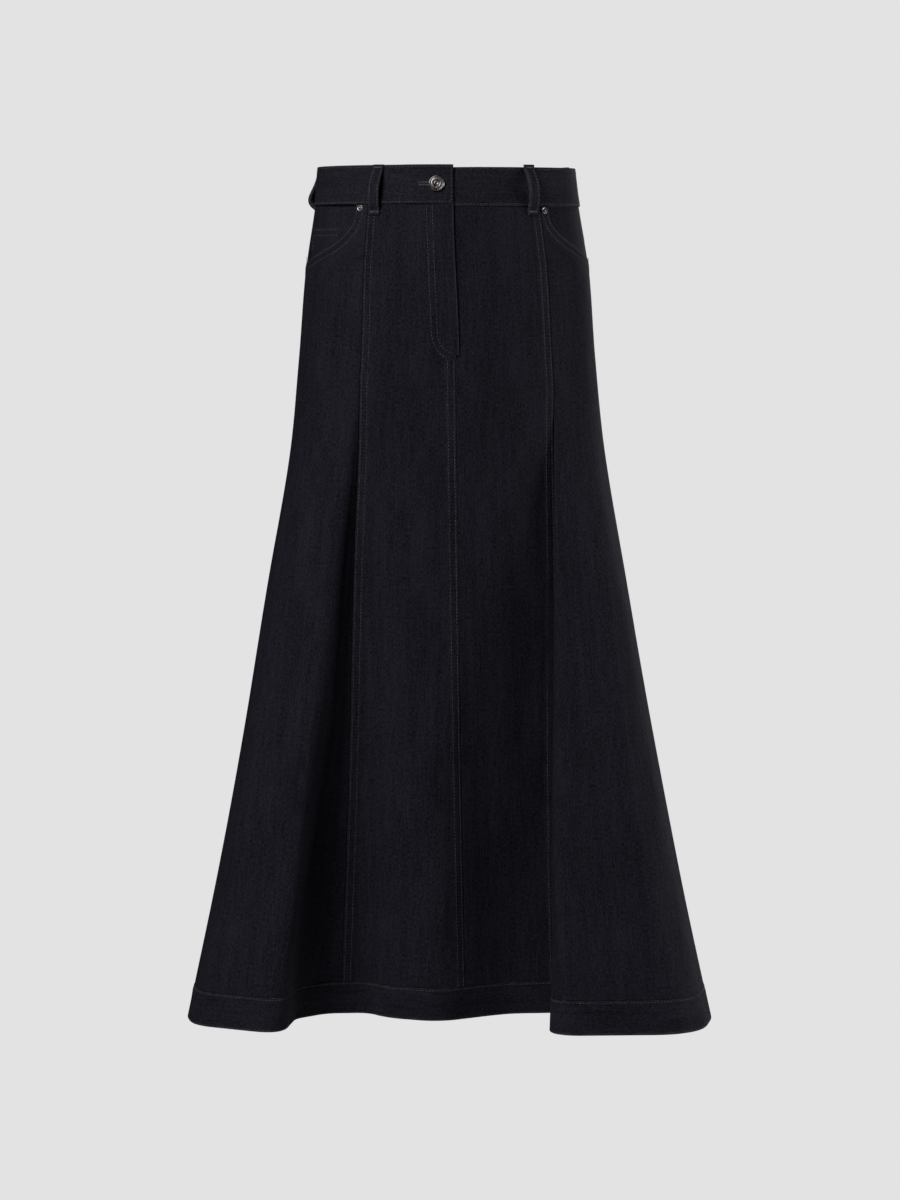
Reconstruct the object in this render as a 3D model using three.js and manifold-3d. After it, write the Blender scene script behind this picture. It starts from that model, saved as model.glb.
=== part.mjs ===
// A long denim skirt as it is worn: eight gores that fit the hip and flare to a fluted hem, a waistband with a
// tack button, a fly, scooped front pockets, a coin pocket, belt loops, rivets and a deep hem band.
// Millimetres. +Z is up, -Y is the front, and +X is the wearer's left, which is on the right in a front view.
// The origin is the middle of the waist, half way up the waistband.
import * as THREE from "three";
import { mergeVertices } from "three/addons/utils/BufferGeometryUtils.js";
import Module from "manifold-3d";

// Driving sizes of the cloth and its seams
const CLOTH = 1.2;
const SEAM_GAP = 0.3;
const BAND_CLOTH = 2.4;
const BAND_TOP = 19.5;
const BAND_SEAM = -19.5;
const HEM_CLOTH = 2.2;
const HEM_PROUD = 0.4;
const HEM_SEAM = -810;
const HEM = -843;

// How the worn skirt sits: the waist dips to the front, and its overlapping half rides a little high
const WAIST_DIP = 4;
const WAIST_STEP = 1.2;
const HIP = -175;

// The flutes start below the hip and deepen towards the hem
const FLUTES_START = -200;
const FLUTES_GROWTH = 1.2;

// Above the hem the walls of the two front flares draw in towards the princess seams, so that each rolls steeply
// into its seam. A draw of 1 would leave them as they are at the hem.
const WALL_DRAW = 0.05;
const WALL_FADE = 1.25;
const WALL_EASE = 0.01;
const WALL_CLOSER = 1.5;
const HEM_EASE = 0.1;

// The smooth body under the flutes: how far it reaches from the middle at each level
const SECTIONS = [
  { name: "waist top", level: 19.5, right: 132.5, left: 129, front: 93, back: 93 },
  { name: "waist seam", level: -19.5, right: 136, left: 134, front: 97, back: 101 },
  { name: "pocket end", level: -84, right: 145.5, left: 144.4, front: 103, back: 118 },
  { name: "hip", level: -175, right: 153, left: 151, front: 108, back: 132 },
  { name: "thigh", level: -270, right: 162.5, left: 160.5, front: 109, back: 136 },
  { name: "above knee", level: -400, right: 184.2, left: 182.4, front: 111, back: 139 },
  { name: "knee", level: -550, right: 207.5, left: 206.8, front: 114, back: 142 },
  { name: "calf", level: -700, right: 234.2, left: 234.3, front: 118, back: 146 },
  { name: "hem", level: -843, right: 262, left: 264, front: 122, back: 150 },
];

// Seams in order from the centre front round by the wearer's left. A bearing is in degrees from the front.
const SEAMS = [
  { name: "centre front", waist: 1, hip: 3 },
  { name: "left princess", waist: 43.6, hip: 43.9 },
  { name: "left side", waist: 93, hip: 93 },
  { name: "left back princess", waist: 142, hip: 142 },
  { name: "centre back", waist: 184, hip: 184 },
  { name: "right back princess", waist: 226, hip: 226 },
  { name: "right side", waist: 269, hip: 269 },
  { name: "right princess", waist: 324, hip: 325.3 },
  { name: "centre front again", waist: 361, hip: 363 },
];

// The hem seen from above, a row for each fold: the corner's place, how far its rounding reaches to each side,
// and the seam that runs down to it
const HEM_FOLDS = [
  { name: "centre front seam", x: 18, y: -84.3, round: 0, seam: 0 },
  { name: "left dip", x: 58, y: -57, round: 22 },
  { name: "left valley", x: 117, y: -50, round: 12, seam: 1 },
  { name: "left inner crest", x: 95, y: -178, round: 40 },
  { name: "left outer crest", x: 250, y: -170, round: 50 },
  { name: "left side crest", x: 273, y: -55, round: 45 },
  { name: "left side seam", x: 255.6, y: 0, round: 0, seam: 2 },
  { name: "left side dip", x: 246, y: 32, round: 30 },
  { name: "left back side crest", x: 264, y: 112, round: 30 },
  { name: "left back outer crest", x: 228, y: 170, round: 36 },
  { name: "left back inner crest", x: 122, y: 188, round: 40 },
  { name: "left back valley", x: 84, y: 88, round: 18, seam: 3 },
  { name: "back bulge", x: 14, y: 128, round: 28 },
  { name: "centre back seam", x: -16, y: 115.5, round: 0, seam: 4 },
  { name: "right back valley", x: -92, y: 84, round: 20, seam: 5 },
  { name: "right back inner crest", x: -126, y: 178, round: 34 },
  { name: "right back outer crest", x: -214, y: 172, round: 42 },
  { name: "right back side crest", x: -262, y: 104, round: 38 },
  { name: "right side dip", x: -243, y: 24, round: 30 },
  { name: "right side seam", x: -252, y: -8, round: 0, seam: 6 },
  { name: "right side crest", x: -268, y: -62, round: 28 },
  { name: "right outer crest", x: -255, y: -120, round: 22 },
  { name: "right inner crest", x: -168, y: -162, round: 14 },
  { name: "right wall foot", x: -154, y: -86, round: 12 },
  { name: "right valley", x: -123, y: -54.5, round: 12 },
  { name: "right princess seam", x: -109.6, y: -53.4, round: 0, seam: 7 },
  { name: "right dip", x: -82, y: -51.2, round: 14 },
  { name: "right rise", x: -62, y: -80, round: 18 },
  { name: "front bulge", x: -8, y: -102, round: 24 },
];

// Rows that every gore shares, so that neighbours meet, and the extra rows where the pocket mouth curves
const GORE_LEVELS = [-50, -84, -125, -168, -215, -270, -340, -420, -510, -610, -710];
const POCKET_LEVELS = [-35, -58, -65, -70, -73.5, -76.5, -79.5];
const COLUMNS = { centre: 10, side: 22, hem: 76, band: 30 };

// The pocket mouth as a curve of bearing and level, on the wearer's right. The left one is its mirror, turned.
const MOUTH = {
  right: [[317, -19.5], [319, -52], [307, -65], [269, -79.5]],
  left: [[48.8, -19.5], [47.2, -46], [58, -58], [93, -76.5]],
};
const FACING_UNDER = { down: 14, degrees: 5 };
const COIN = { top: -42.5, sideBearing: 283, underBearing: 5, cloth: 1.0 };

// The fly: how far its edge laps over the centre front, and how far the pieces behind it reach
const FLY = { end: -172, settle: 9, lap: 3, raised: 24, ramp: 14 };
const FLY_ZIP = { inner: 14, outer: 5, end: -158 };
const FLY_SHIELD = { inner: 34, outer: 12, end: -166 };
const BAND_LAP = { over: 3, under: 34, ramp: 30 };

// Belt loops: bearing of the top and bottom ends, how far the loop stands off the band, and how low its bow sags
const LOOP = { width: 11, cloth: 2, top: 20.6, bottom: -29.5, seatedShare: 0.12 };
const LOOPS = [
  { name: "belt_loop_front_right", topBearing: 328.9, bottomBearing: 327.7, stand: 6.2, sag: 1 },
  { name: "belt_loop_front_left", topBearing: 38.3, bottomBearing: 38.8, stand: 6.2, sag: 1 },
  { name: "belt_loop_side_right", topBearing: 257, bottomBearing: 257, stand: 7.5, sag: 2.2 },
  { name: "belt_loop_side_left", topBearing: 112, bottomBearing: 112, stand: 6.2, sag: 1.2 },
  { name: "belt_loop_back", topBearing: 184, bottomBearing: 184, stand: 6.8, sag: 1 },
];

const BUTTON = { radius: 8, height: 2.6, shank: 2.2, fromFront: -13.6, level: 1.5, eye: 3, slit: 17, slitWidth: 1 };
const RIVET = { radius: 3.6, height: 1.5, level: -23.6 };
const RIVET_BEARING = { right: 320, left: 45.6 };

// Colours of the finishes
const DENIM = new THREE.MeshStandardMaterial({ color: 0x201e28, roughness: 0.92, metalness: 0 });
const METAL = new THREE.MeshStandardMaterial({ color: 0x4a4549, roughness: 0.4, metalness: 0.9 });
const TAPE = new THREE.MeshStandardMaterial({ color: 0x17161d, roughness: 0.8, metalness: 0 });

const lerp = THREE.MathUtils.lerp;
const clamp = THREE.MathUtils.clamp;
const smoothstep = THREE.MathUtils.smoothstep;

// One column of the sections at a level, on a smooth curve through its rows
function sectionSize(level, side) {
  const last = SECTIONS.length - 1;
  let i = 0;
  while (i < last - 1 && level < SECTIONS[i + 1].level) i += 1;
  const slope = (k) => {
    const a = SECTIONS[Math.max(k - 1, 0)];
    const b = SECTIONS[Math.min(k + 1, last)];
    return (b[side] - a[side]) / (b.level - a.level);
  };
  const from = SECTIONS[i];
  const to = SECTIONS[i + 1];
  const span = to.level - from.level;
  const t = (level - from.level) / span;
  const t2 = t * t;
  const t3 = t2 * t;
  return (
    (2 * t3 - 3 * t2 + 1) * from[side] +
    (t3 - 2 * t2 + t) * span * slope(i) +
    (3 * t2 - 2 * t3) * to[side] +
    (t3 - t2) * span * slope(i + 1)
  );
}

// A point of the smooth body at a bearing and level, seen from above
function bodyPoint(degrees, level) {
  const angle = THREE.MathUtils.degToRad(degrees);
  const across = Math.sin(angle);
  const ahead = Math.cos(angle);
  return new THREE.Vector2(
    across * sectionSize(level, across < 0 ? "right" : "left"),
    -ahead * sectionSize(level, ahead > 0 ? "front" : "back"),
  );
}

// The hem's rounded outline as one path, with the share of its length at which each seam comes down
function hemOutline() {
  const place = (row) => new THREE.Vector2(row.x, row.y);
  const path = new THREE.CurvePath();
  const stops = [0];
  let length = 0;
  const add = (curve) => {
    path.add(curve);
    length += curve.getLength();
  };
  let from = place(HEM_FOLDS[0]);
  for (let i = 1; i < HEM_FOLDS.length; i += 1) {
    const row = HEM_FOLDS[i];
    const corner = place(row);
    const next = place(HEM_FOLDS[(i + 1) % HEM_FOLDS.length]);
    const start = corner.clone().add(from.clone().sub(corner).setLength(row.round));
    const end = corner.clone().add(next.sub(corner).setLength(row.round));
    add(new THREE.LineCurve(from, start));
    const before = length;
    if (row.round > 0) add(new THREE.QuadraticBezierCurve(start, corner, end));
    if (row.seam !== undefined) stops[row.seam] = (before + length) / 2;
    from = end;
  }
  add(new THREE.LineCurve(from, place(HEM_FOLDS[0])));
  stops[SEAMS.length - 1] = length;
  return { path, stops: stops.map((stop) => stop / length) };
}

const HEM_LINE = hemOutline();

// Places round the skirt are counted in seams: 0 is the centre front, 1 the left princess seam, and 8 the front again
function turn(u) {
  const around = SEAMS.length - 1;
  const wrapped = ((u % around) + around) % around;
  const seam = Math.floor(wrapped);
  return { seam, share: wrapped - seam, turns: Math.round((u - wrapped) / around) };
}

// Runs smoothly through a rising value at each seam, where whole is the value's growth in a full turn
function through(values, whole, u) {
  const { seam, share, turns } = turn(u);
  const around = SEAMS.length - 1;
  const step = (k) => values[((k + around) % around) + 1] - values[(k + around) % around];
  const slope = (k) => (2 * step(k - 1) * step(k)) / (step(k - 1) + step(k));
  const t = share;
  const t2 = t * t;
  const t3 = t2 * t;
  const rise = (3 * t2 - 2 * t3) * step(seam) + (t3 - 2 * t2 + t) * slope(seam) + (t3 - t2) * slope(seam + 1);
  return values[seam] + rise + whole * turns;
}

function bearingAt(u, level) {
  const down = smoothstep(-level, -BAND_SEAM, -HIP);
  const bearings = SEAMS.map((seam) => lerp(seam.waist, seam.hip, down));
  return through(bearings, 360, u);
}

// The place round the skirt that has a bearing at a level
function placeAt(degrees, level) {
  let low = 0;
  let high = SEAMS.length;
  for (let i = 0; i < 40; i += 1) {
    const middle = (low + high) / 2;
    if (bearingAt(middle, level) < degrees) low = middle;
    else high = middle;
  }
  return low;
}

// How far the fluted hem lies from the smooth body's hem at a place
function flute(u) {
  const along = through(HEM_LINE.stops, 1, u);
  return HEM_LINE.path.getPoint(along - Math.floor(along)).sub(bodyPoint(bearingAt(u, HEM), HEM));
}

// The place whose fold at the hem a place of the skirt follows
function drawnIn(u, level) {
  const { seam, share } = turn(u);
  if (seam !== 1 && seam !== 6) return u;
  const above = 1 - clamp((FLUTES_START - level) / (FLUTES_START - HEM_SEAM), 0, 1);
  const power = 1 - (1 - WALL_DRAW) * above ** WALL_FADE;
  const from = seam === 1 ? share : 1 - share;
  const start = WALL_EASE ** power;
  const near = ((from + WALL_EASE) ** power - start) / ((1 + WALL_EASE) ** power - start);
  const shift = (near - from) * (1 - from * from);
  return seam === 1 ? u + shift : u - shift;
}

// A point of the skirt's outer face. half is 1 on the overlapping right half and -1 on the left half.
function skirtPoint(u, level, half) {
  const degrees = bearingAt(u, level);
  const deep = clamp((FLUTES_START - level) / (FLUTES_START - HEM), 0, 2) ** FLUTES_GROWTH;
  const flat = bodyPoint(degrees, level).addScaledVector(flute(drawnIn(u, level)), deep);
  const high = 1 - smoothstep(-level, -BAND_SEAM, -HIP);
  const front = Math.cos(THREE.MathUtils.degToRad(degrees) / 2) ** 2;
  const lift = high * ((WAIST_DIP * flat.y) / SECTIONS[0].front + half * WAIST_STEP * front);
  return new THREE.Vector3(flat.x, flat.y, level + lift);
}

// The way out of the cloth at a place
function outward(u, level, half) {
  const stepU = 0.02;
  const stepLevel = 2;
  const around = skirtPoint(u + stepU, level, half).sub(skirtPoint(u - stepU, level, half));
  const up = skirtPoint(u, level + stepLevel, half).sub(skirtPoint(u, level - stepLevel, half));
  return around.cross(up).normalize();
}

function lifted(u, level, lift, half) {
  return skirtPoint(u, level, half).addScaledVector(outward(u, level, half), lift);
}

// The place that lies so many millimetres further round
function moved(u, level, distance) {
  const step = distance < 0 ? -0.005 : 0.005;
  const span = skirtPoint(u + step, level, 0).distanceTo(skirtPoint(u, level, 0));
  return u + (distance * Math.abs(step)) / span;
}

// A closed wall of cloth. across(level) gives the places of its columns, from the wearer's right to the left, and
// outer(u, level, share) how far its outer face is lifted off the skirt, where share runs from 0 to 1 along the row.
// half may be a number, or a function of the place where the cloth passes from one half to the other.
function wall({ levels, across, outer, thick, half }) {
  const front = [];
  const back = [];
  for (const level of levels) {
    const places = across(level);
    places.forEach((u, c) => {
      const lift = outer(u, level, c / (places.length - 1));
      const side = typeof half === "function" ? half(u, level) : half;
      front.push(lifted(u, level, lift, side));
      back.push(lifted(u, level, lift - thick, side));
    });
  }
  const columns = front.length / levels.length;
  const points = [...front, ...back];
  const faces = [];
  const quad = (a, b, c, d) => faces.push(a, b, c, a, c, d);
  const at = (row, column, side) => side * front.length + row * columns + column;
  const rows = levels.length;
  for (let r = 0; r < rows - 1; r += 1) {
    for (let c = 0; c < columns - 1; c += 1) {
      quad(at(r, c, 0), at(r + 1, c, 0), at(r + 1, c + 1, 0), at(r, c + 1, 0));
      quad(at(r, c, 1), at(r, c + 1, 1), at(r + 1, c + 1, 1), at(r + 1, c, 1));
    }
    quad(at(r, 0, 0), at(r, 0, 1), at(r + 1, 0, 1), at(r + 1, 0, 0));
    quad(at(r, columns - 1, 1), at(r, columns - 1, 0), at(r + 1, columns - 1, 0), at(r + 1, columns - 1, 1));
  }
  for (let c = 0; c < columns - 1; c += 1) {
    quad(at(0, c, 1), at(0, c, 0), at(0, c + 1, 0), at(0, c + 1, 1));
    quad(at(rows - 1, c, 0), at(rows - 1, c, 1), at(rows - 1, c + 1, 1), at(rows - 1, c + 1, 0));
  }
  const geometry = new THREE.BufferGeometry().setFromPoints(points);
  geometry.setIndex(faces);
  geometry.computeVertexNormals();
  return geometry;
}

// Places between two edges that are each drawn in by a seam's half gap. They are evenly spaced, or closer together
// beside the first or the last edge.
function between(fromU, toU, columns, closer = "") {
  const spaced = (share) => {
    if (closer === "first") return share ** WALL_CLOSER;
    if (closer === "last") return 1 - (1 - share) ** WALL_CLOSER;
    return share;
  };
  return (level) => {
    const from = moved(fromU(level), level, SEAM_GAP / 2);
    const to = moved(toU(level), level, -SEAM_GAP / 2);
    return Array.from({ length: columns + 1 }, (_, c) => lerp(from, to, spaced(c / columns)));
  };
}

const fixed = (u) => () => u;

function levelsBetween(top, bottom, extra = []) {
  const inside = [...GORE_LEVELS, ...extra].filter((level) => level < top - 2 && level > bottom + 2);
  return [top, ...inside.sort((a, b) => b - a), bottom];
}

const GORE_TOP = BAND_SEAM - SEAM_GAP / 2;
const GORE_BOTTOM = HEM_SEAM + SEAM_GAP / 2 + HEM_EASE;

// A plain gore between two seams
function gore(fromSeam, toSeam, columns, half) {
  return wall({
    levels: levelsBetween(GORE_TOP, GORE_BOTTOM),
    across: between(fixed(fromSeam), fixed(toSeam), columns),
    outer: () => 0,
    thick: CLOTH,
    half,
  });
}

// The front gore on the right: its fly edge laps over the left one down to the end of the fly
function frontRight() {
  const last = SEAMS.length - 1;
  const lapEnd = FLY.end - 2;
  const settled = lapEnd - FLY.settle;
  const edge = (level) => (level > FLY.end - 1 ? moved(last, level, FLY.lap + SEAM_GAP / 2) : last);
  const raise = CLOTH + SEAM_GAP;
  return wall({
    levels: levelsBetween(GORE_TOP, GORE_BOTTOM, [FLY.end, lapEnd, settled]),
    across: between(fixed(last - 1), edge, COLUMNS.centre + 4),
    outer: (u, level) => {
      const down = smoothstep(-level, -lapEnd, -settled);
      const near = smoothstep(u, moved(last, level, -FLY.raised - FLY.ramp), moved(last, level, -FLY.raised));
      return raise * near * (1 - down);
    },
    thick: CLOTH,
    half: 1,
  });
}

// The bearing of a pocket mouth at a level
function mouthBearing(side, level) {
  const [start, pullStart, pullEnd, end] = MOUTH[side].map(([x, y]) => new THREE.Vector2(x, y));
  const curve = new THREE.CubicBezierCurve(start, pullStart, pullEnd, end);
  let low = 0;
  let high = 1;
  for (let i = 0; i < 40; i += 1) {
    const middle = (low + high) / 2;
    if (curve.getPoint(middle).y > level) low = middle;
    else high = middle;
  }
  return curve.getPoint(low).x;
}

// The side front gore, cut away along the pocket mouth
function sideFront(side) {
  const right = side === "right";
  const princess = right ? 7 : 1;
  const seam = right ? 6 : 2;
  const mouthEnd = MOUTH[side][3][1];
  const outerEdge = (level) => (level < mouthEnd ? seam : placeAt(mouthBearing(side, level), level));
  return wall({
    levels: levelsBetween(GORE_TOP, GORE_BOTTOM, POCKET_LEVELS),
    across: right
      ? between(outerEdge, fixed(princess), COLUMNS.side + 2, "last")
      : between(fixed(princess), outerEdge, COLUMNS.side + 2, "first"),
    outer: () => 0,
    thick: CLOTH,
    half: right ? 1 : -1,
  });
}

// How deep a pocket facing lies: under the mouth's edge it clears the gore, and it rises to the side seam and the band
function facingLift(side, share, level) {
  const under = side === "right" ? CLOTH + COIN.cloth + 3 * SEAM_GAP : CLOTH + 2 * SEAM_GAP;
  const rise = smoothstep(share, 0.3, 0.95) * (1 - smoothstep(-level, 52, 74));
  return -lerp(under, SEAM_GAP, rise);
}

function facingEdge(side, level) {
  const sign = side === "right" ? 1 : -1;
  return placeAt(mouthBearing(side, level + FACING_UNDER.down) + sign * FACING_UNDER.degrees, level);
}

function pocketFacing(side) {
  const right = side === "right";
  const bottom = MOUTH[side][3][1] - FACING_UNDER.down + 1;
  const inner = (level) => facingEdge(side, level);
  return wall({
    levels: levelsBetween(GORE_TOP, bottom, POCKET_LEVELS),
    across: right ? between(fixed(6), inner, 10) : between(inner, fixed(2), 10),
    outer: (u, level, share) => facingLift(side, right ? 1 - share : share, level),
    thick: CLOTH,
    half: right ? 1 : -1,
  });
}

// The coin pocket, a patch on the right facing that runs on under the mouth's edge
function coinPocket() {
  const sideEdge = (level) => placeAt(COIN.sideBearing, level);
  const underEdge = (level) => placeAt(mouthBearing("right", level + 6) + COIN.underBearing - 2, level);
  const levels = [COIN.top, -50, -58, -65, -70, -73.5, -76];
  return wall({
    levels,
    across: between(sideEdge, underEdge, 8),
    outer: (u, level) => {
      const inner = facingEdge("right", level);
      const share = clamp((inner - u) / (inner - 6), 0, 1);
      return facingLift("right", share, level) + SEAM_GAP + COIN.cloth;
    },
    thick: COIN.cloth,
    half: 1,
  });
}

// A strip behind the fly, as far in from the centre front as inner says and as far past it as outer says
function behindFly(sizes, lift, columns) {
  return wall({
    levels: levelsBetween(GORE_TOP - 1.5, sizes.end, [-100]),
    across: (level) => {
      const from = moved(8, level, -sizes.inner);
      const to = moved(8, level, sizes.outer);
      return Array.from({ length: columns + 1 }, (_, c) => lerp(from, to, c / columns));
    },
    outer: () => lift,
    thick: CLOTH,
    half: 0,
  });
}

// Half of the waistband. At the front the right half lies over the left one, so they step apart.
function waistband(side) {
  const right = side === "right";
  const step = (right ? 1 : -1) * (BAND_CLOTH + SEAM_GAP) * 0.5;
  const reach = right ? BAND_LAP.over : BAND_LAP.under;
  const front = (level) => moved(right ? 8 : 0, level, (right ? 1 : -1) * reach);
  const rampPlace = (level, distance) => moved(right ? 8 : 0, level, (right ? -1 : 1) * distance);
  return wall({
    levels: [BAND_TOP, 0, BAND_SEAM + SEAM_GAP / 2],
    across: right ? between(fixed(4), front, COLUMNS.band) : between(front, fixed(4), COLUMNS.band),
    outer: (u, level) => {
      const far = right ? BAND_LAP.under + BAND_LAP.ramp : BAND_LAP.ramp;
      const near = right ? BAND_LAP.under + 1 : 1;
      const start = rampPlace(level, far);
      const end = rampPlace(level, near);
      const share = right ? smoothstep(u, start, end) : 1 - smoothstep(u, end, start);
      return BAND_CLOTH / 2 + step * share;
    },
    thick: BAND_CLOTH,
    half: right ? 1 : (u, level) => lerp(1, -1, smoothstep(u, moved(0, level, -FLY.raised + 2), 0)),
  });
}

// Half of the band that finishes the hem
function hemBand(fromSeam, toSeam) {
  return wall({
    levels: [HEM_SEAM - SEAM_GAP / 2, HEM],
    across: between(fixed(fromSeam), fixed(toSeam), COLUMNS.hem),
    outer: () => HEM_PROUD,
    thick: HEM_CLOTH,
    half: 0,
  });
}

// A belt loop: its ends are seated on the band and on the cloth below it, and its middle stands off
function beltLoop({ topBearing, bottomBearing, stand, sag }) {
  const rows = 12;
  const half = 0;
  const levels = Array.from({ length: rows + 1 }, (_, r) => lerp(LOOP.top, LOOP.bottom, r / rows));
  const seat = SEAM_GAP + BAND_CLOTH / 2;
  return wall({
    levels,
    across: (level) => {
      const share = (LOOP.top - level) / (LOOP.top - LOOP.bottom);
      const middle = placeAt(lerp(topBearing, bottomBearing, share), level);
      return [-0.5, 0, 0.5].map((side) => moved(middle, level, side * LOOP.width));
    },
    outer: (u, level) => {
      const share = (LOOP.top - level) / (LOOP.top - LOOP.bottom);
      const free = clamp((share - LOOP.seatedShare) / (1 - 2 * LOOP.seatedShare), 0, 1);
      const below = smoothstep(-level, -BAND_SEAM, -LOOP.bottom - 3);
      const bow = Math.sin(Math.PI * free ** sag) ** 0.8;
      return lerp(seat + WAIST_STEP * 0.2, SEAM_GAP, below) + stand * bow + LOOP.cloth;
    },
    thick: LOOP.cloth,
    half,
  });
}

// Stands a piece of hardware on the cloth, its own +Z along the way out
function seated(geometry, u, level, lift, half) {
  const out = outward(u, level, half);
  const across = new THREE.Vector3(0, 0, 1).cross(out).normalize();
  const up = out.clone().cross(across);
  const basis = new THREE.Matrix4().makeBasis(across, up, out);
  basis.setPosition(lifted(u, level, lift, half));
  return geometry.applyMatrix4(basis);
}

function turned(profile, segments) {
  const points = profile.map(([radius, height]) => new THREE.Vector2(radius, height));
  return new THREE.LatheGeometry(points, segments).rotateX(Math.PI / 2);
}

const buttonPlace = (level) => moved(8, level, BUTTON.fromFront);

// The tack button: a cap with a raised rim and a low boss, on a shank that stands on the under half of the band
function button() {
  const { radius, height, shank } = BUTTON;
  const capSeat = BAND_CLOTH / 2 + (BAND_CLOTH + SEAM_GAP) / 2 + SEAM_GAP;
  const shankSeat = BAND_CLOTH / 2 - (BAND_CLOTH + SEAM_GAP) / 2 + SEAM_GAP;
  const profile = [
    [0, shankSeat - capSeat],
    [shank, shankSeat - capSeat],
    [shank, 0],
    [radius * 0.92, 0],
    [radius, height * 0.3],
    [radius, height * 0.7],
    [radius * 0.92, height],
    [radius * 0.76, height],
    [radius * 0.68, height * 0.75],
    [radius * 0.3, height * 0.75],
    [radius * 0.22, height * 0.95],
    [0, height],
  ];
  return seated(turned(profile, 24), buttonPlace(BUTTON.level), BUTTON.level, capSeat, 0);
}

// A copper-style rivet with a ring and a nipple in its middle
function rivet(side) {
  const { radius, height, level } = RIVET;
  const profile = [
    [0, 0],
    [radius, 0],
    [radius, height * 0.35],
    [radius * 0.75, height * 0.75],
    [radius * 0.5, height * 0.45],
    [radius * 0.32, height],
    [0, height],
  ];
  const place = placeAt(RIVET_BEARING[side], level);
  return seated(turned(profile, 16), place, level, SEAM_GAP, side === "right" ? 1 : -1);
}

const wasm = await Module();
wasm.setup();

// A closed geometry as a solid that can be cut
function solid(geometry) {
  const bare = geometry.clone();
  bare.deleteAttribute("normal");
  bare.deleteAttribute("uv");
  const merged = mergeVertices(bare, 1e-4);
  return new wasm.Manifold(
    new wasm.Mesh({
      numProp: 3,
      vertProperties: new Float32Array(merged.attributes.position.array),
      triVerts: new Uint32Array(merged.index.array),
    }),
  );
}

function geometryOf(manifold) {
  const mesh = manifold.getMesh();
  const geometry = new THREE.BufferGeometry();
  geometry.setAttribute("position", new THREE.BufferAttribute(new Float32Array(mesh.vertProperties), 3));
  geometry.setIndex(new THREE.BufferAttribute(new Uint32Array(mesh.triVerts), 1));
  geometry.computeVertexNormals();
  return geometry;
}

// The cutter for the keyhole buttonhole: a round eye round the shank and a slit away from the edge
function buttonholeCutter() {
  const depth = 12;
  const { eye, slit, slitWidth, level } = BUTTON;
  const shape = new THREE.Shape();
  const opening = Math.asin(slitWidth / 2 / eye);
  shape.absarc(0, 0, eye, Math.PI + opening, Math.PI - opening, false);
  shape.lineTo(-slit, slitWidth / 2);
  shape.lineTo(-slit, -slitWidth / 2);
  shape.closePath();
  const cutter = new THREE.ExtrudeGeometry(shape, { depth, bevelEnabled: false, curveSegments: 16 });
  return seated(cutter, buttonPlace(level), level, BAND_CLOTH / 2 - depth / 2 + 1, 0);
}

function overBand() {
  return geometryOf(solid(waistband("right")).subtract(solid(buttonholeCutter())));
}

function piece(name, geometry, material) {
  const mesh = new THREE.Mesh(geometry, material);
  mesh.name = name;
  return mesh;
}

function build() {
  const skirt = new THREE.Group();
  const { centre, side } = COLUMNS;
  const shieldLift = -2 * CLOTH - 2 * SEAM_GAP;
  skirt.add(
    piece("waistband_right", overBand(), DENIM),
    piece("waistband_left", waistband("left"), DENIM),
    piece("front_right", frontRight(), DENIM),
    piece("front_left", gore(0, 1, centre, -1), DENIM),
    piece("side_front_right", sideFront("right"), DENIM),
    piece("side_front_left", sideFront("left"), DENIM),
    piece("side_back_right", gore(5, 6, side, 1), DENIM),
    piece("side_back_left", gore(2, 3, side, -1), DENIM),
    piece("back_right", gore(4, 5, centre, 1), DENIM),
    piece("back_left", gore(3, 4, centre, -1), DENIM),
    piece("hem_band_front", hemBand(-2, 2), DENIM),
    piece("hem_band_back", hemBand(2, 6), DENIM),
    piece("pocket_facing_right", pocketFacing("right"), DENIM),
    piece("pocket_facing_left", pocketFacing("left"), DENIM),
    piece("coin_pocket", coinPocket(), DENIM),
    piece("fly_zip", behindFly(FLY_ZIP, -CLOTH - SEAM_GAP, 2), TAPE),
    piece("fly_shield", behindFly(FLY_SHIELD, shieldLift, 4), DENIM),
    piece("button", button(), METAL),
    piece("rivet_right", rivet("right"), METAL),
    piece("rivet_left", rivet("left"), METAL),
  );
  for (const loop of LOOPS) skirt.add(piece(loop.name, beltLoop(loop), DENIM));
  return skirt;
}

export default build();
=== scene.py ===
"""A long denim skirt, dressed for the camera: its cloth, sewing, button, rivets and a plain studio.

Sizes are in millimetres unless a name says otherwise, and meshes are made in metres.
"""

from __future__ import annotations

import bisect
import logging
import math
from dataclasses import dataclass, field
from enum import Enum
from functools import lru_cache
from typing import Callable, Iterable, Sequence

import bmesh
import bpy
from mathutils import Matrix, Vector

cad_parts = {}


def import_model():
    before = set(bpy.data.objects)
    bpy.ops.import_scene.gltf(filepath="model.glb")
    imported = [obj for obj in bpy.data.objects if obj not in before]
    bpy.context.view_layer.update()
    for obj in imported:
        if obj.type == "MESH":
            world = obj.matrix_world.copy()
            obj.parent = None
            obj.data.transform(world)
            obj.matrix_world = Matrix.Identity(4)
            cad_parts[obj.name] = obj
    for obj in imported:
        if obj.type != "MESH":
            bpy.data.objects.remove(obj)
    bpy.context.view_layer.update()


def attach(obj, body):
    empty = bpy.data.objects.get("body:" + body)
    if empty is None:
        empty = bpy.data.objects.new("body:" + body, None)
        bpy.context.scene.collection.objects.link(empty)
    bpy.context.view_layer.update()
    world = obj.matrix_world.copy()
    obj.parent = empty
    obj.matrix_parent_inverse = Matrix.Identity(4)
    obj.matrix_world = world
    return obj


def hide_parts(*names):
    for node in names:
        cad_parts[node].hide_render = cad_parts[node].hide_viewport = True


LOG = logging.getLogger("skirt")
MM = 0.001
BODY = "root"


class Grain(Enum):
    """The way the warp threads run in a piece of cloth."""

    DOWN = "down the skirt"
    ROUND = "round the skirt"


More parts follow.
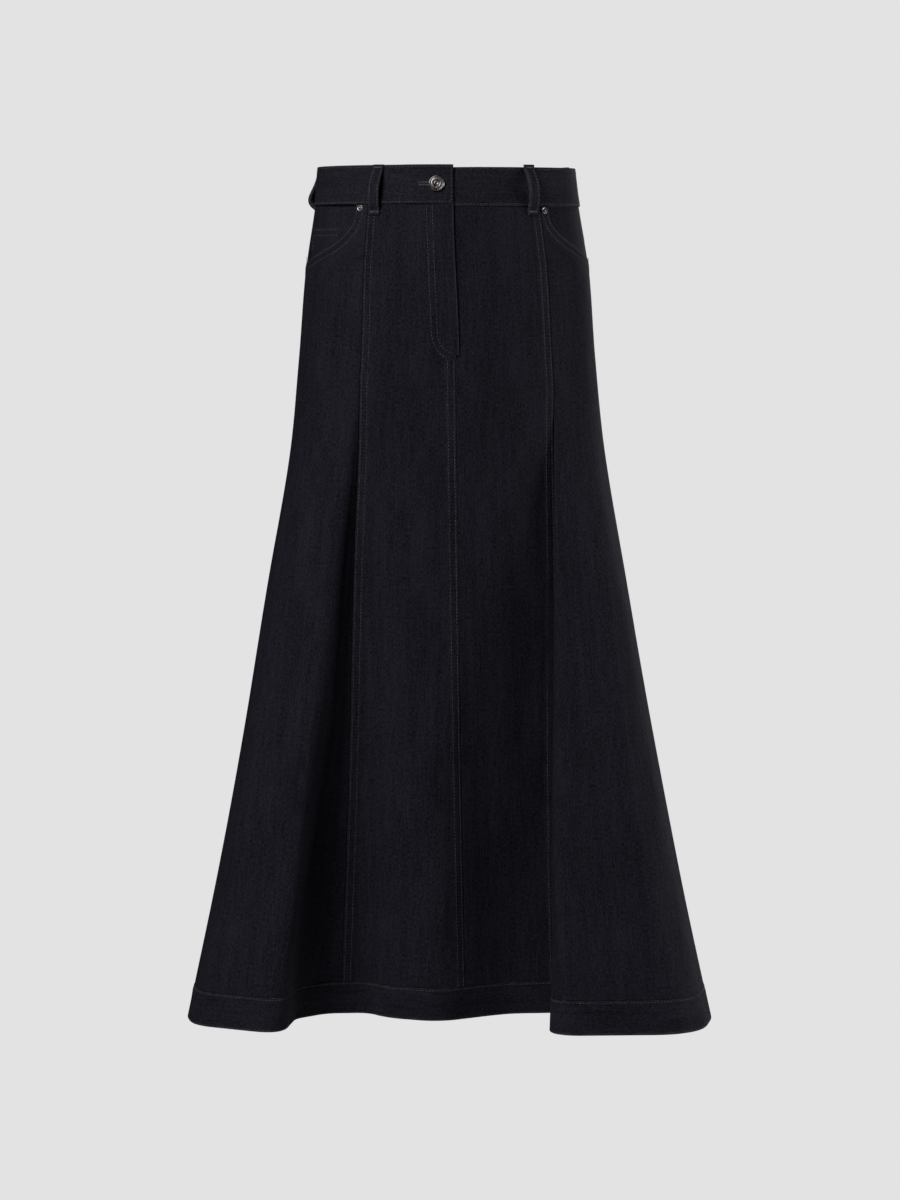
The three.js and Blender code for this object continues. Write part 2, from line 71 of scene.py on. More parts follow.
class Side(Enum):
    """The wearer's side, with the sign of the way it lies from the centre front."""

    RIGHT = -1
    LEFT = 1


# The form of the worn skirt


@dataclass(frozen=True)
class Section:
    """How far the smooth body reaches from the middle at one level."""

    name: str
    level: float
    right: float
    left: float
    front: float
    back: float


@dataclass(frozen=True)
class Seam:
    """A seam's bearing from the front in degrees, at the waist and at the hip."""

    name: str
    waist: float
    hip: float


@dataclass(frozen=True)
class HemFold:
    """A corner of the hem's outline, the reach of its rounding, and the seam that runs down to it."""

    name: str
    x: float
    y: float
    round: float
    seam: int | None = None


SECTIONS = (
    Section("waist top", 19.5, 132.5, 129, 93, 93),
    Section("waist seam", -19.5, 136, 134, 97, 101),
    Section("pocket end", -84, 145.5, 144.4, 103, 118),
    Section("hip", -175, 153, 151, 108, 132),
    Section("thigh", -270, 162.5, 160.5, 109, 136),
    Section("above knee", -400, 184.2, 182.4, 111, 139),
    Section("knee", -550, 207.5, 206.8, 114, 142),
    Section("calf", -700, 234.2, 234.3, 118, 146),
    Section("hem", -843, 262, 264, 122, 150),
)
SEAMS = (
    Seam("centre front", 1, 3),
    Seam("left princess", 43.6, 43.9),
    Seam("left side", 93, 93),
    Seam("left back princess", 142, 142),
    Seam("centre back", 184, 184),
    Seam("right back princess", 226, 226),
    Seam("right side", 269, 269),
    Seam("right princess", 324, 325.3),
    Seam("centre front again", 361, 363),
)
HEM_FOLDS = (
    HemFold("centre front seam", 18, -84.3, 0, 0),
    HemFold("left dip", 58, -57, 22),
    HemFold("left valley", 117, -50, 12, 1),
    HemFold("left inner crest", 95, -178, 40),
    HemFold("left outer crest", 250, -170, 50),
    HemFold("left side crest", 273, -55, 45),
    HemFold("left side seam", 255.6, 0, 0, 2),
    HemFold("left side dip", 246, 32, 30),
    HemFold("left back side crest", 264, 112, 30),
    HemFold("left back outer crest", 228, 170, 36),
    HemFold("left back inner crest", 122, 188, 40),
    HemFold("left back valley", 84, 88, 18, 3),
    HemFold("back bulge", 14, 128, 28),
    HemFold("centre back seam", -16, 115.5, 0, 4),
    HemFold("right back valley", -92, 84, 20, 5),
    HemFold("right back inner crest", -126, 178, 34),
    HemFold("right back outer crest", -214, 172, 42),
    HemFold("right back side crest", -262, 104, 38),
    HemFold("right side dip", -243, 24, 30),
    HemFold("right side seam", -252, -8, 0, 6),
    HemFold("right side crest", -268, -62, 28),
    HemFold("right outer crest", -255, -120, 22),
    HemFold("right inner crest", -164, -170, 36),
    HemFold("right wall foot", -154, -86, 12),
    HemFold("right valley", -123, -54.5, 12),
    HemFold("right princess seam", -109.6, -53.4, 0, 7),
    HemFold("right dip", -82, -51.2, 14),
    HemFold("right rise", -62, -80, 18),
    HemFold("front bulge", -8, -102, 24),
)

# Thicknesses, the gap between pieces, half the gap of a dressed seam, and the levels of the seams
CLOTH = 1.2
SEAM_GAP = 0.3
EDGE_GAP = 0.05
BAND_CLOTH = 2.4
BAND_TOP = 19.5
BAND_SEAM = -19.5
HEM_CLOTH = 2.2
HEM_PROUD = 0.4
HEM_SEAM = -810.0
HEM = -843.0
GORE_TOP = BAND_SEAM
GORE_BOTTOM = HEM_SEAM


def smooth(value: float, low: float, high: float) -> float:
    """Rises softly from 0 at low to 1 at high."""
    t = min(max((value - low) / (high - low), 0.0), 1.0)
    return t * t * (3 - 2 * t)


def mix(a: float, b: float, t: float) -> float:
    """The value a share t of the way from a to b."""
    return a + (b - a) * t


def hump(value: float, width: float) -> float:
    """A soft hump of height 1 at zero that fades within about twice its width."""
    return math.exp(-((value / width) ** 2))


class SkirtForm:
    """The worn skirt's outer face, by the place round it in seams and the level.

    Place 0 is the centre front, 1 the left princess seam, and 8 the centre front again. A half of 1 is
    the overlapping right half, and -1 the left half.
    """

    hip_level = -175.0
    flutes_start = -200.0
    flutes_growth = 1.2
    wall_draw = 0.05
    wall_fade = 1.25
    wall_ease = 0.01
    waist_dip = 4.0
    waist_step = 1.2
    near = 0.005
    around = len(SEAMS) - 1

    def __init__(self) -> None:
        """Measures the hem's outline once."""
        self._line, self._lengths, stops = self._hem_outline()
        self._stops = (stops, self._slopes(stops))
        self.sizes = lru_cache(maxsize=None)(self._sizes)
        self._bearings = lru_cache(maxsize=None)(self._bearing_rows)

    @staticmethod
    def _slopes(values: Sequence[float]) -> list[float]:
        """Slopes at each seam that keep a rising value rising.

        Args:
            values: the value at each seam.

        Returns:
            The slopes.
        """
        last = len(values) - 1
        steps = [values[k + 1] - values[k] for k in range(last)]
        pairs = [(steps[k - 1], steps[k % last]) for k in range(last + 1)]
        return [2 * a * b / (a + b) for a, b in pairs]

    def _hem_outline(self) -> tuple[list[Vector], list[float], list[float]]:
        """The hem's rounded outline as points, their distance along it, and each seam's share of it.

        Returns:
            The points, the distances and the shares.
        """
        line = [Vector((HEM_FOLDS[0].x, HEM_FOLDS[0].y))]
        lengths = [0.0]
        stops = [0.0] * len(SEAMS)

        def add(point: Vector) -> None:
            """Adds a point to the outline."""
            lengths.append(lengths[-1] + (point - line[-1]).length)
            line.append(point)

        for i, row in enumerate(HEM_FOLDS[1:], start=1):
            corner = Vector((row.x, row.y))
            after = HEM_FOLDS[(i + 1) % len(HEM_FOLDS)]
            ahead = (Vector((after.x, after.y)) - corner).normalized() * row.round
            behind = (line[-1] - corner).normalized() * row.round
            add(corner + behind)
            start = lengths[-1]
            for k in range(1, 25 if row.round else 1):
                t = k / 24
                add(corner + behind * (1 - t) ** 2 + ahead * t**2)
            if row.seam is not None:
                stops[row.seam] = (start + lengths[-1]) / 2
        add(line[0].copy())
        stops[-1] = lengths[-1]
        return line, lengths, [stop / lengths[-1] for stop in stops]

    def _through(self, rows: tuple[list[float], list[float]], whole: float, u: float) -> float:
        """A value that runs smoothly through its rows at the seams and grows by whole in a full turn.

        Args:
            rows: its values and slopes at the seams.
            whole: how much it grows in a full turn.
            u: the place round the skirt, in seams.

        Returns:
            The value.
        """
        values, slopes = rows
        wrapped = u % self.around
        k = min(int(wrapped), self.around - 1)
        t = wrapped - k
        t2, t3 = t * t, t * t * t
        rise = (3 * t2 - 2 * t3) * (values[k + 1] - values[k])
        bend = (t3 - 2 * t2 + t) * slopes[k] + (t3 - t2) * slopes[k + 1]
        return values[k] + rise + bend + whole * round((u - wrapped) / self.around)

    def _sizes(self, level: float) -> tuple[float, float, float, float]:
        """The body's reach to the right, left, front and back at a level.

        Args:
            level: the level.

        Returns:
            The four reaches.
        """
        last = len(SECTIONS) - 1
        i = 0
        while i < last - 1 and level < SECTIONS[i + 1].level:
            i += 1
        above, below = SECTIONS[i], SECTIONS[i + 1]
        span = below.level - above.level
        t = (level - above.level) / span
        t2, t3 = t * t, t * t * t

        def slope(k: int, side: str) -> float:
            """The curve's slope at a row."""
            a, b = SECTIONS[max(k - 1, 0)], SECTIONS[min(k + 1, last)]
            return (getattr(b, side) - getattr(a, side)) / (b.level - a.level)

        def size(side: str) -> float:
            """One side's reach.

            Args:
                side: right, left, front or back.

            Returns:
                The reach.
            """
            return (
                (2 * t3 - 3 * t2 + 1) * getattr(above, side)
                + (t3 - 2 * t2 + t) * span * slope(i, side)
                + (3 * t2 - 2 * t3) * getattr(below, side)
                + (t3 - t2) * span * slope(i + 1, side)
            )

        return size("right"), size("left"), size("front"), size("back")

    def _bearing_rows(self, level: float) -> tuple[list[float], list[float]]:
        """Each seam's bearing at a level, with the slopes.

        Args:
            level: the level.

        Returns:
            The bearings, and their slopes.
        """
        down = smooth(-level, -BAND_SEAM, -self.hip_level)
        values = [mix(seam.waist, seam.hip, down) for seam in SEAMS]
        return values, self._slopes(values)

    def bearing(self, u: float, level: float) -> float:
        """The bearing in degrees of a place at a level."""
        return self._through(self._bearings(level), 360.0, u)

    def place(self, degrees: float, level: float) -> float:
        """The place round the skirt that has a bearing at a level.

        Args:
            degrees: the bearing.
            level: the level.

        Returns:
            The place.
        """
        low, high = 0.0, float(self.around + 1)
        for _ in range(40):
            middle = (low + high) / 2
            if self.bearing(middle, level) < degrees:
                low = middle
            else:
                high = middle
        return low

    def _body(self, degrees: float, level: float) -> tuple[float, float]:
        """A point of the smooth body, seen from above.

        Args:
            degrees: the bearing.
            level: the level.

        Returns:
            The point's x and y.
        """
        across, ahead = math.sin(math.radians(degrees)), math.cos(math.radians(degrees))
        right, left, front, back = self.sizes(level)
        return across * (right if across < 0 else left), -ahead * (front if ahead > 0 else back)

    def _flute(self, u: float) -> tuple[float, float]:
        """How far the fluted hem lies from the smooth body's hem at a place.

        Args:
            u: the place round the skirt, in seams.

        Returns:
            The distance in x and in y.
        """
        along = self._through(self._stops, 1.0, u) % 1.0 * self._lengths[-1]
        i = min(max(bisect.bisect_right(self._lengths, along), 1), len(self._line) - 1)
        a, b = self._line[i - 1], self._line[i]
        t = (along - self._lengths[i - 1]) / max(self._lengths[i] - self._lengths[i - 1], 1e-9)
        x, y = self._body(self.bearing(u, HEM), HEM)
        return mix(a.x, b.x, t) - x, mix(a.y, b.y, t) - y

    def _drawn_in(self, u: float, level: float) -> float:
        """The place whose fold at the hem a place of the skirt follows.

        The walls of the two front flares draw in towards the princess seams above the hem, so that each
        rolls steeply into its seam.

        Args:
            u: the place round the skirt.
            level: its level.

        Returns:
            The place at the hem.
        """
        wrapped = u % self.around
        if not (1 < wrapped < 2 or 6 < wrapped < 7):
            return u
        above = 1 - min(max((self.flutes_start - level) / (self.flutes_start - HEM_SEAM), 0.0), 1.0)
        power = 1 - (1 - self.wall_draw) * above**self.wall_fade
        share = wrapped - 1 if wrapped < 2 else 7 - wrapped
        start = self.wall_ease**power
        near = ((share + self.wall_ease) ** power - start) / ((1 + self.wall_ease) ** power - start)
        shift = (near - share) * (1 - share * share)
        return u + shift if wrapped < 2 else u - shift

    def point(self, u: float, level: float, half: float = 0.0) -> Vector:
        """A point of the outer face, in metres.

        Args:
            u: the place round the skirt, in seams.
            level: the level.
            half: 1 on the right half, -1 on the left, for the small step between them at the waist.

        Returns:
            The point.
        """
        degrees = self.bearing(u, level)
        x, y = self._body(degrees, level)
        deep = max(0.0, (self.flutes_start - level) / (self.flutes_start - HEM)) ** self.flutes_growth
        if deep:
            ahead, aside = self._flute(self._drawn_in(u, level))
            x, y = x + ahead * deep, y + aside * deep
        high = 1 - smooth(-level, -BAND_SEAM, -self.hip_level)
        front = math.cos(math.radians(degrees) / 2) ** 2
        lift = high * (self.waist_dip * y / SECTIONS[0].front + half * self.waist_step * front)
        return Vector((x * MM, y * MM, (level + lift) * MM))

    def outward(self, u: float, level: float, half: float = 0.0) -> Vector:
        """The way out of the cloth at a place.

        Args:
            u: the place round the skirt, in seams.
            level: the level.
            half: 1 on the right half, -1 on the left.

        Returns:
            The way out, one unit long.
        """
        step_u, step_level = 0.008, 2.0
        across = self.point(u + step_u, level, half) - self.point(u - step_u, level, half)
        up = self.point(u, level + step_level, half) - self.point(u, level - step_level, half)
        return across.cross(up).normalized()

    def moved(self, u: float, level: float, distance: float) -> float:
        """The place that lies so many millimetres further round.

        Args:
            u: the place round the skirt, in seams.
            level: the level.
            distance: how far to go, below 0 to go back.

        Returns:
            The new place.
        """
        step = -self.near if distance < 0 else self.near
        span = (self.point(u + step, level) - self.point(u, level)).length / MM
        return u + distance * abs(step) / span

    def beside(
        self, u: float, level: float, ahead_u: float, ahead_level: float, distance: float
    ) -> tuple[float, float]:
        """The place and level that lie to the left of a path on the cloth.

        Args:
            u: a place on the path.
            level: its level.
            ahead_u: the next place on the path.
            ahead_level: the next level.
            distance: how far to the left of the path's way, seen from outside.

        Returns:
            The new place and level.
        """
        across = (self.point(u + self.near, level) - self.point(u - self.near, level)) / (2 * self.near)
        up = (self.point(u, level + 1) - self.point(u, level - 1)) / 2
        way = (self.point(ahead_u, ahead_level) - self.point(u, level)).normalized()
        left = across.cross(up).normalized().cross(way) * distance * MM
        aa, au, uu = across.dot(across), across.dot(up), up.dot(up)
        la, lu = left.dot(across), left.dot(up)
        scale = aa * uu - au * au
        return u + (la * uu - lu * au) / scale, level + (lu * aa - la * au) / scale


FORM = SkirtForm()


# Shader graphs


Colour = tuple[float, float, float]


class Socket:
    """An output socket whose sums and products add Math nodes."""

    def __init__(self, graph: "Graph", output: bpy.types.NodeSocket) -> None:
        """Wraps an output.

        Args:
            graph: the graph it belongs to.
            output: the node's output socket.
        """
        self.graph = graph
        self.output = output

    def _math(self, operation: str, *values: "Socket | float") -> "Socket":
        """Adds one Math node."""
        return self.graph.node("ShaderNodeMath", {"operation": operation}, dict(enumerate(values)))

    def __add__(self, other: "Socket | float") -> "Socket":
        """Sum."""
        return self._math("ADD", self, other)

    def __radd__(self, other: float) -> "Socket":
        """Sum with a number on the left."""
        return self._math("ADD", other, self)

    def __sub__(self, other: "Socket | float") -> "Socket":
        """Difference."""
        return self._math("SUBTRACT", self, other)

    def __rsub__(self, other: float) -> "Socket":
        """Difference from a number."""
        return self._math("SUBTRACT", other, self)

    def __mul__(self, other: "Socket | float") -> "Socket":
        """Product."""
        return self._math("MULTIPLY", self, other)

    def sine(self) -> "Socket":
        """The sine of the value."""
        return self._math("SINE", self)

    def clamped(self) -> "Socket":
        """The value held between 0 and 1."""
        return self.graph.node("ShaderNodeClamp", {}, {"Value": self})


class Graph:
    """A material's node graph with one Principled shader."""

    def __init__(self, name: str) -> None:
        """Starts an empty graph.

        Args:
            name: the material's name.
        """
        self.material = bpy.data.materials.new(name)
        self.material.use_nodes = True
        self.tree = self.material.node_tree
        self.tree.nodes.clear()

    def node(self, kind: str, settings: dict, values: dict, output: str | int = 0) -> Socket:
        """Adds a node.

        Args:
            kind: the node's type.
            settings: its properties.
            values: numbers, colours or sockets by input name or number.
            output: the output that is wanted.

        Returns:
            The wanted output.
        """
        made = self.tree.nodes.new(kind)
        for key, value in settings.items():
            setattr(made, key, value)
        by_identifier = {socket.identifier: socket for socket in made.inputs}
        for key, value in values.items():
            socket = made.inputs[key] if isinstance(key, int) else by_identifier.get(key) or made.inputs[key]
            if isinstance(value, Socket):
                self.tree.links.new(value.output, socket)
            else:
                socket.default_value = value
        found = {socket.identifier: socket for socket in made.outputs}.get(output)
        return Socket(self, found or made.outputs[output])

    def bump(self, strength: float, distance: float, height: Socket) -> Socket:
        """Bends the shading by a height.

        Args:
            strength: how much of it shows.
            distance: the height's full depth, in metres.
            height: the height, from 0 to 1.

        Returns:
            The bent way out.
        """
        values = {"Strength": strength, "Distance": distance, "Height": height}
        return self.node("ShaderNodeBump", {}, values, "Normal")

    def mixed(self, factor: Socket, a: "Socket | Colour", b: "Socket | Colour") -> Socket:
        """Mixes two colours.

        Args:
            factor: how much of the second colour shows.
            a: the first colour.
            b: the second colour.

        Returns:
            The mixed colour.
        """
        values = {"Factor_Float": factor, "A_Color": a, "B_Color": b}
        values = {key: value if isinstance(value, Socket) else (*value, 1.0) for key, value in values.items()}
        return self.node("ShaderNodeMix", {"data_type": "RGBA"}, values, "Result_Color")

    def finish(self, values: dict) -> bpy.types.Material:
        """Adds the shader and the output.

        Args:
            values: the Principled shader's numbers, colours or sockets.

        Returns:
            The material.
        """
        shader = self.node("ShaderNodeBsdfPrincipled", {}, values)
        self.node_output(shader)
        return self.material

    def node_output(self, shader: Socket) -> None:
        """Links a shader to the material's output."""
        made = self.tree.nodes.new("ShaderNodeOutputMaterial")
        self.tree.links.new(shader.output, made.inputs["Surface"])


@dataclass(frozen=True)
class DenimFinish:
    """Black twill with slubby warp threads that read the piece's own grain."""

    name: str
    dark: Colour
    light: Colour
    # The tone of rubbed, raised places: partly real wear, partly painted highlight.
    worn_and_highlight: Colour
    roughness: float = 0.88
    fleck_scale: tuple[float, float] = (900.0, 330.0)
    slub_scale: tuple[float, float] = (560.0, 46.0)
    streak_scale: tuple[float, float] = (130.0, 7.0)
    weft_scale: tuple[float, float] = (90.0, 900.0)
    cloud_scale: tuple[float, float] = (26.0, 11.0)
    twill_pitch: float = 0.00105

    def make(self) -> bpy.types.Material:
        """Builds the material.

        Returns:
            The material.
        """
        graph = Graph(self.name)
        grain = graph.node("ShaderNodeAttribute", {"attribute_name": "cloth"}, {}, "Vector")

        def noise(scale: tuple[float, float], detail: float) -> Socket:
            """Noise with its own scale across and along the warp."""
            mapped = graph.node("ShaderNodeMapping", {}, {"Vector": grain, "Scale": (*scale, 0.0)})
            return graph.node("ShaderNodeTexNoise", {}, {"Vector": mapped, "Scale": 1.0, "Detail": detail})

        parts = graph.node("ShaderNodeSeparateXYZ", {}, {"Vector": grain}, "X")
        warp = Socket(graph, parts.output.node.outputs["Y"])
        wear_and_highlight = Socket(graph, parts.output.node.outputs["Z"])
        fleck = noise(self.fleck_scale, 3.0)
        slub = noise(self.slub_scale, 2.0)
        streak = noise(self.streak_scale, 2.0)
        weft = noise(self.weft_scale, 2.0)
        cloud = noise(self.cloud_scale, 3.0)
        twill = ((parts + warp) * (2 * math.pi / self.twill_pitch)).sine()
        tone = 0.5 + (fleck - 0.5) * 2.3 + (slub - 0.5) * 1.0 + (streak - 0.5) * 0.6
        tone = tone + (weft - 0.5) * 0.6 + (cloud - 0.5) * 0.6
        tone = (tone + twill * 0.07).clamped()
        # Mixes in the worn-and-highlight tone along seam ridges and edges: partly rubbed wear, partly painted
        # highlight.
        fade = (wear_and_highlight * (0.3 + fleck * 1.3)).clamped()
        colour = graph.mixed(fade, graph.mixed(tone, self.dark, self.light), self.worn_and_highlight)
        height = fleck * 0.7 + slub * 0.3 + weft * 0.35 + twill * 0.3
        bump = graph.bump(0.35, 0.00035, height)
        rough = self.roughness - (fleck - 0.5) * 0.2
        return graph.finish(
            {"Base Color": colour, "Roughness": rough, "Specular IOR Level": 0.1, "Normal": bump}
        )


@dataclass(frozen=True)
class ThreadFinish:
    """Spun grey topstitch thread, a little uneven from stitch to stitch."""

    name: str
    dark: Colour
    light: Colour

    def make(self) -> bpy.types.Material:
        """Builds the material.

        Returns:
            The material.
        """
        graph = Graph(self.name)
        place = graph.node("ShaderNodeTexCoord", {}, {}, "Object")
        patch = graph.node("ShaderNodeTexNoise", {}, {"Vector": place, "Scale": 170.0, "Detail": 2.0})
        ply = graph.node("ShaderNodeTexNoise", {}, {"Vector": place, "Scale": 2600.0, "Detail": 1.0})
        factor = (0.5 + (patch - 0.5) * 2.2 + (ply - 0.5) * 0.5).clamped()
        colour = graph.mixed(factor, self.dark, self.light)
        bump = graph.bump(0.4, 0.0002, ply)
        rough = 0.75 + (patch - 0.5) * 0.2
        return graph.finish(
            {"Base Color": colour, "Roughness": rough, "Specular IOR Level": 0.3, "Normal": bump}
        )


@dataclass(frozen=True)
class MetalFinish:
    """Dark plated metal, lighter in patches that follow a random noise."""

    name: str
    dark: Colour
    light: Colour

    def make(self) -> bpy.types.Material:
        """Builds the material.

        Returns:
            The material.
        """
        graph = Graph(self.name)
        place = graph.node("ShaderNodeTexCoord", {}, {}, "Object")
        rub = graph.node("ShaderNodeTexNoise", {}, {"Vector": place, "Scale": 420.0, "Detail": 4.0})
        spots = graph.node("ShaderNodeTexNoise", {}, {"Vector": place, "Scale": 1700.0, "Detail": 2.0})
        factor = (0.45 + (rub - 0.5) * 1.8).clamped()
        colour = graph.mixed(factor, self.dark, self.light)
        bump = graph.bump(0.15, 0.0001, spots)
        rough = 0.34 + (rub - 0.5) * 0.3
        return graph.finish({"Base Color": colour, "Metallic": 1.0, "Roughness": rough, "Normal": bump})


@dataclass(frozen=True)
class PlainFinish:
    """A pale, even studio surface."""

    name: str
    colour: Colour

    def make(self) -> bpy.types.Material:
        """Builds the material."""
        graph = Graph(self.name)
        return graph.finish({"Base Color": (*self.colour, 1.0), "Roughness": 0.95, "Specular IOR Level": 0.1})


# Each denim's third colour is its worn-and-highlight tone: partly rubbed wear, partly painted highlight.
DENIM = DenimFinish("denim", (0.0035, 0.0031, 0.0062), (0.0205, 0.0190, 0.0285), (0.065, 0.062, 0.074))
# A lighter copy of the denim for the waistband and the belt loops: partly the band's crosswise grain, partly
# painted light, as if lit from above.
BAND_DENIM_PAINTED_LIT = DenimFinish(
    "band_denim_painted_lit", (0.0045, 0.0040, 0.0070), (0.0240, 0.0222, 0.0315), (0.070, 0.066, 0.078)
)
INSIDE_DENIM = DenimFinish(
    "inside_denim", (0.010, 0.0095, 0.012), (0.038, 0.036, 0.042), (0.08, 0.075, 0.085)
)
TAPE = DenimFinish("woven_tape", (0.004, 0.004, 0.005), (0.014, 0.013, 0.016), (0.03, 0.03, 0.032), 0.8)
THREAD = ThreadFinish("grey_thread", (0.030, 0.028, 0.034), (0.115, 0.108, 0.118))
TACK_THREAD = ThreadFinish("rust_thread", (0.020, 0.009, 0.007), (0.075, 0.030, 0.022))
METAL = MetalFinish("gunmetal", (0.045, 0.040, 0.042), (0.30, 0.27, 0.27))


# Cloth


def to_object(made: bmesh.types.BMesh, name: str, *finishes: bpy.types.Material) -> bpy.types.Object:
    """Turns a built mesh into an object of the scene.

    Args:
        made: the built mesh, which is freed.
        name: the object's name.
        finishes: its materials.

    Returns:
        The object.
    """
    mesh = bpy.data.meshes.new(name)
    made.to_mesh(mesh)
    made.free()
    for finish in finishes:
        mesh.materials.append(finish)
    piece = bpy.data.objects.new(name, mesh)
    bpy.context.scene.collection.objects.link(piece)
    return piece


@dataclass(slots=True)
class Spot:
    """A spot on a piece of cloth: its place and level, and how far it lies from the piece's edges."""

    u: float
    level: float
    left: float
    right: float
    top: float
    bottom: float


@dataclass
class Cloth:
    """One piece of cloth, as a wall that follows the skirt's form."""

    name: str
    levels: Sequence[float]
    across: Callable[[float], list[float]]
    lift: Callable[[Spot], float]
    thick: float = CLOTH
    half: Callable[[float, float], float] = lambda u, level: 0.0
    grain: Grain = Grain.DOWN
    finish: DenimFinish = DENIM
    # Lightening of rubbed, raised places: partly wear, partly painted highlight.
    wear_and_highlight: Callable[[Spot], float] = lambda spot: 0.0
    held: str = "hung"
    outer_area: float = field(default=0.0, init=False)
    outer_width: float = field(default=0.0, init=False)
    outer_length: float = field(default=0.0, init=False)

    def build(self, finishes: dict[str, bpy.types.Material]) -> bpy.types.Object:
        """Makes the piece.

        Args:
            finishes: the materials by name.

        Returns:
            The piece's object.
        """
        places = [self.across(level) for level in self.levels]
        rows, columns = len(places), len(places[0])
        base = [
            [FORM.point(u, level, self.half(u, level)) for u in row]
            for row, level in zip(places, self.levels)
        ]
        runs = []
        for row in base:
            run = [0.0]
            for a, b in zip(row, row[1:]):
                run.append(run[-1] + (b - a).length / MM)
            runs.append(run)
        made = bmesh.new()
        cloth = made.verts.layers.float_vector.new("cloth")
        number = made.verts.layers.int.new("number")
        bmesh.ops.create_grid(made, x_segments=columns - 1, y_segments=rows - 1, size=0.5)
        outs = {}
        for vert in made.verts:
            c = round((vert.co.x + 0.5) * (columns - 1))
            r = round((0.5 - vert.co.y) * (rows - 1))
            u, level, width = places[r][c], self.levels[r], runs[r][-1]
            half = self.half(u, level)
            if 0 < c < columns - 1:
                across = base[r][c + 1] - base[r][c - 1]
                up = base[max(r - 1, 0)][c] - base[min(r + 1, rows - 1)][c]
                out = across.cross(up).normalized()
            else:
                out = FORM.outward(u, level, half)
            run = runs[r][c]
            spot = Spot(u, level, run, width - run, self.levels[0] - level, level - self.levels[-1])
            vert.co = base[r][c] + out * (self.lift(spot) * MM)
            weft, warp = (run - width / 2) * MM, level * MM
            # The third number is that lightening: partly wear, partly painted highlight.
            wear_and_highlight = self.wear_and_highlight(spot)
            vert[cloth] = (weft, warp, wear_and_highlight) if self.grain is Grain.DOWN else (warp, weft, wear_and_highlight)
            vert[number] = r * columns + c
            outs[r * columns + c] = out
        self.outer_area = sum(face.calc_area() for face in made.faces)
        self.outer_width = max(run[-1] for run in runs) * MM
        self.outer_length = max(
            sum((base[r + 1][c] - base[r][c]).length for r in range(rows - 1))
            for c in (0, columns // 2, columns - 1)
        )
        sheet = [*made.verts, *made.edges, *made.faces]
        extruded = bmesh.ops.extrude_face_region(made, geom=sheet, use_keep_orig=True)
        inner = {item for item in extruded["geom"] if isinstance(item, bmesh.types.BMVert)}
        for vert in inner:
            vert.co -= outs[vert[number]] * (self.thick * MM)
        bmesh.ops.recalc_face_normals(made, faces=made.faces)
        made.verts.layers.int.remove(number)
        for face in made.faces:
            face.smooth = True
            if all(vert in inner for vert in face.verts):
                face.material_index = 1
        piece = to_object(made, self.name, finishes[self.finish.name], finishes[INSIDE_DENIM.name])
        piece.data.set_sharp_from_angle(angle=math.radians(50))
        return piece


def steps(start: float, end: float, size: float) -> list[float]:
    """Even steps of about a size from start to end, both included."""
    count = max(1, round(abs(end - start) / size))
    return [mix(start, end, i / count) for i in range(count + 1)]


# The close columns beside a seam, and how closely those of a flare's wall stand towards its princess seam
EDGE_STEPS = (0.0, 0.35, 0.8, 1.5, 2.3, 3.2, 4.4, 5.8, 7.2, 8.3, 9.4, 11.0, 13.5)
WALL_CLOSER = 1.6


def between(
    first: Callable[[float], float], last: Callable[[float], float], columns: int, closer: int = 0
) -> Callable[[float], list[float]]:
    """Places between two edges, drawn in by a seam's half gap and set closer beside each edge.

    Args:
        first: the first edge's place by level.
        last: the last edge's place by level.
        columns: how many columns lie between the close ones.
        closer: -1 where these stand closer together towards the first edge, 1 towards the last, 0 if even.

    Returns:
        The places by level.
    """

    def across(level: float) -> list[float]:
        """The places at one level.

        Args:
            level: the level.

        Returns:
            The places.
        """
        a, b = first(level), last(level)
        width = (b - a) / (FORM.moved(a, level, 1.0) - a)
        squeeze = min(1.0, width / (2 * EDGE_STEPS[-1] + 8))
        near = [FORM.moved(a, level, EDGE_GAP + step * squeeze) for step in EDGE_STEPS]
        far = [FORM.moved(b, level, -EDGE_GAP - step * squeeze) for step in reversed(EDGE_STEPS)]
        shares = [i / columns for i in range(1, columns)]
        if closer < 0:
            shares = [share**WALL_CLOSER for share in shares]
        elif closer > 0:
            shares = [1 - (1 - share) ** WALL_CLOSER for share in shares]
        return [*near, *(mix(near[-1], far[0], share) for share in shares), *far]

    return across


def fixed(u: float) -> Callable[[float], float]:
    """An edge that keeps one place."""
    return lambda level: u


def roll(distance: float, radius: float = 0.7) -> float:
    """How far a turned edge rounds away at a distance from it.

    Args:
        distance: how far from the edge.
        radius: how far the rounding reaches.

    Returns:
        The rise, which is 0 or below.
    """
    if distance >= radius:
        return 0.0
    return math.sqrt(max(radius * radius - (radius - distance) ** 2, 0.0)) - radius


def ripple(along: float, seed: float) -> float:
    """An uneven wave along a seam, from about -1 to 1.

    Args:
        along: how far along the seam.
        seed: shifts the wave.

    Returns:
        The wave's height.
    """
    return (
        math.sin(along / 2.05 + seed)
        + 0.7 * math.sin(along / 3.17 + 2.3 * seed)
        + 0.5 * math.sin(along / 1.31 + 4.1 * seed)
    ) / 1.9


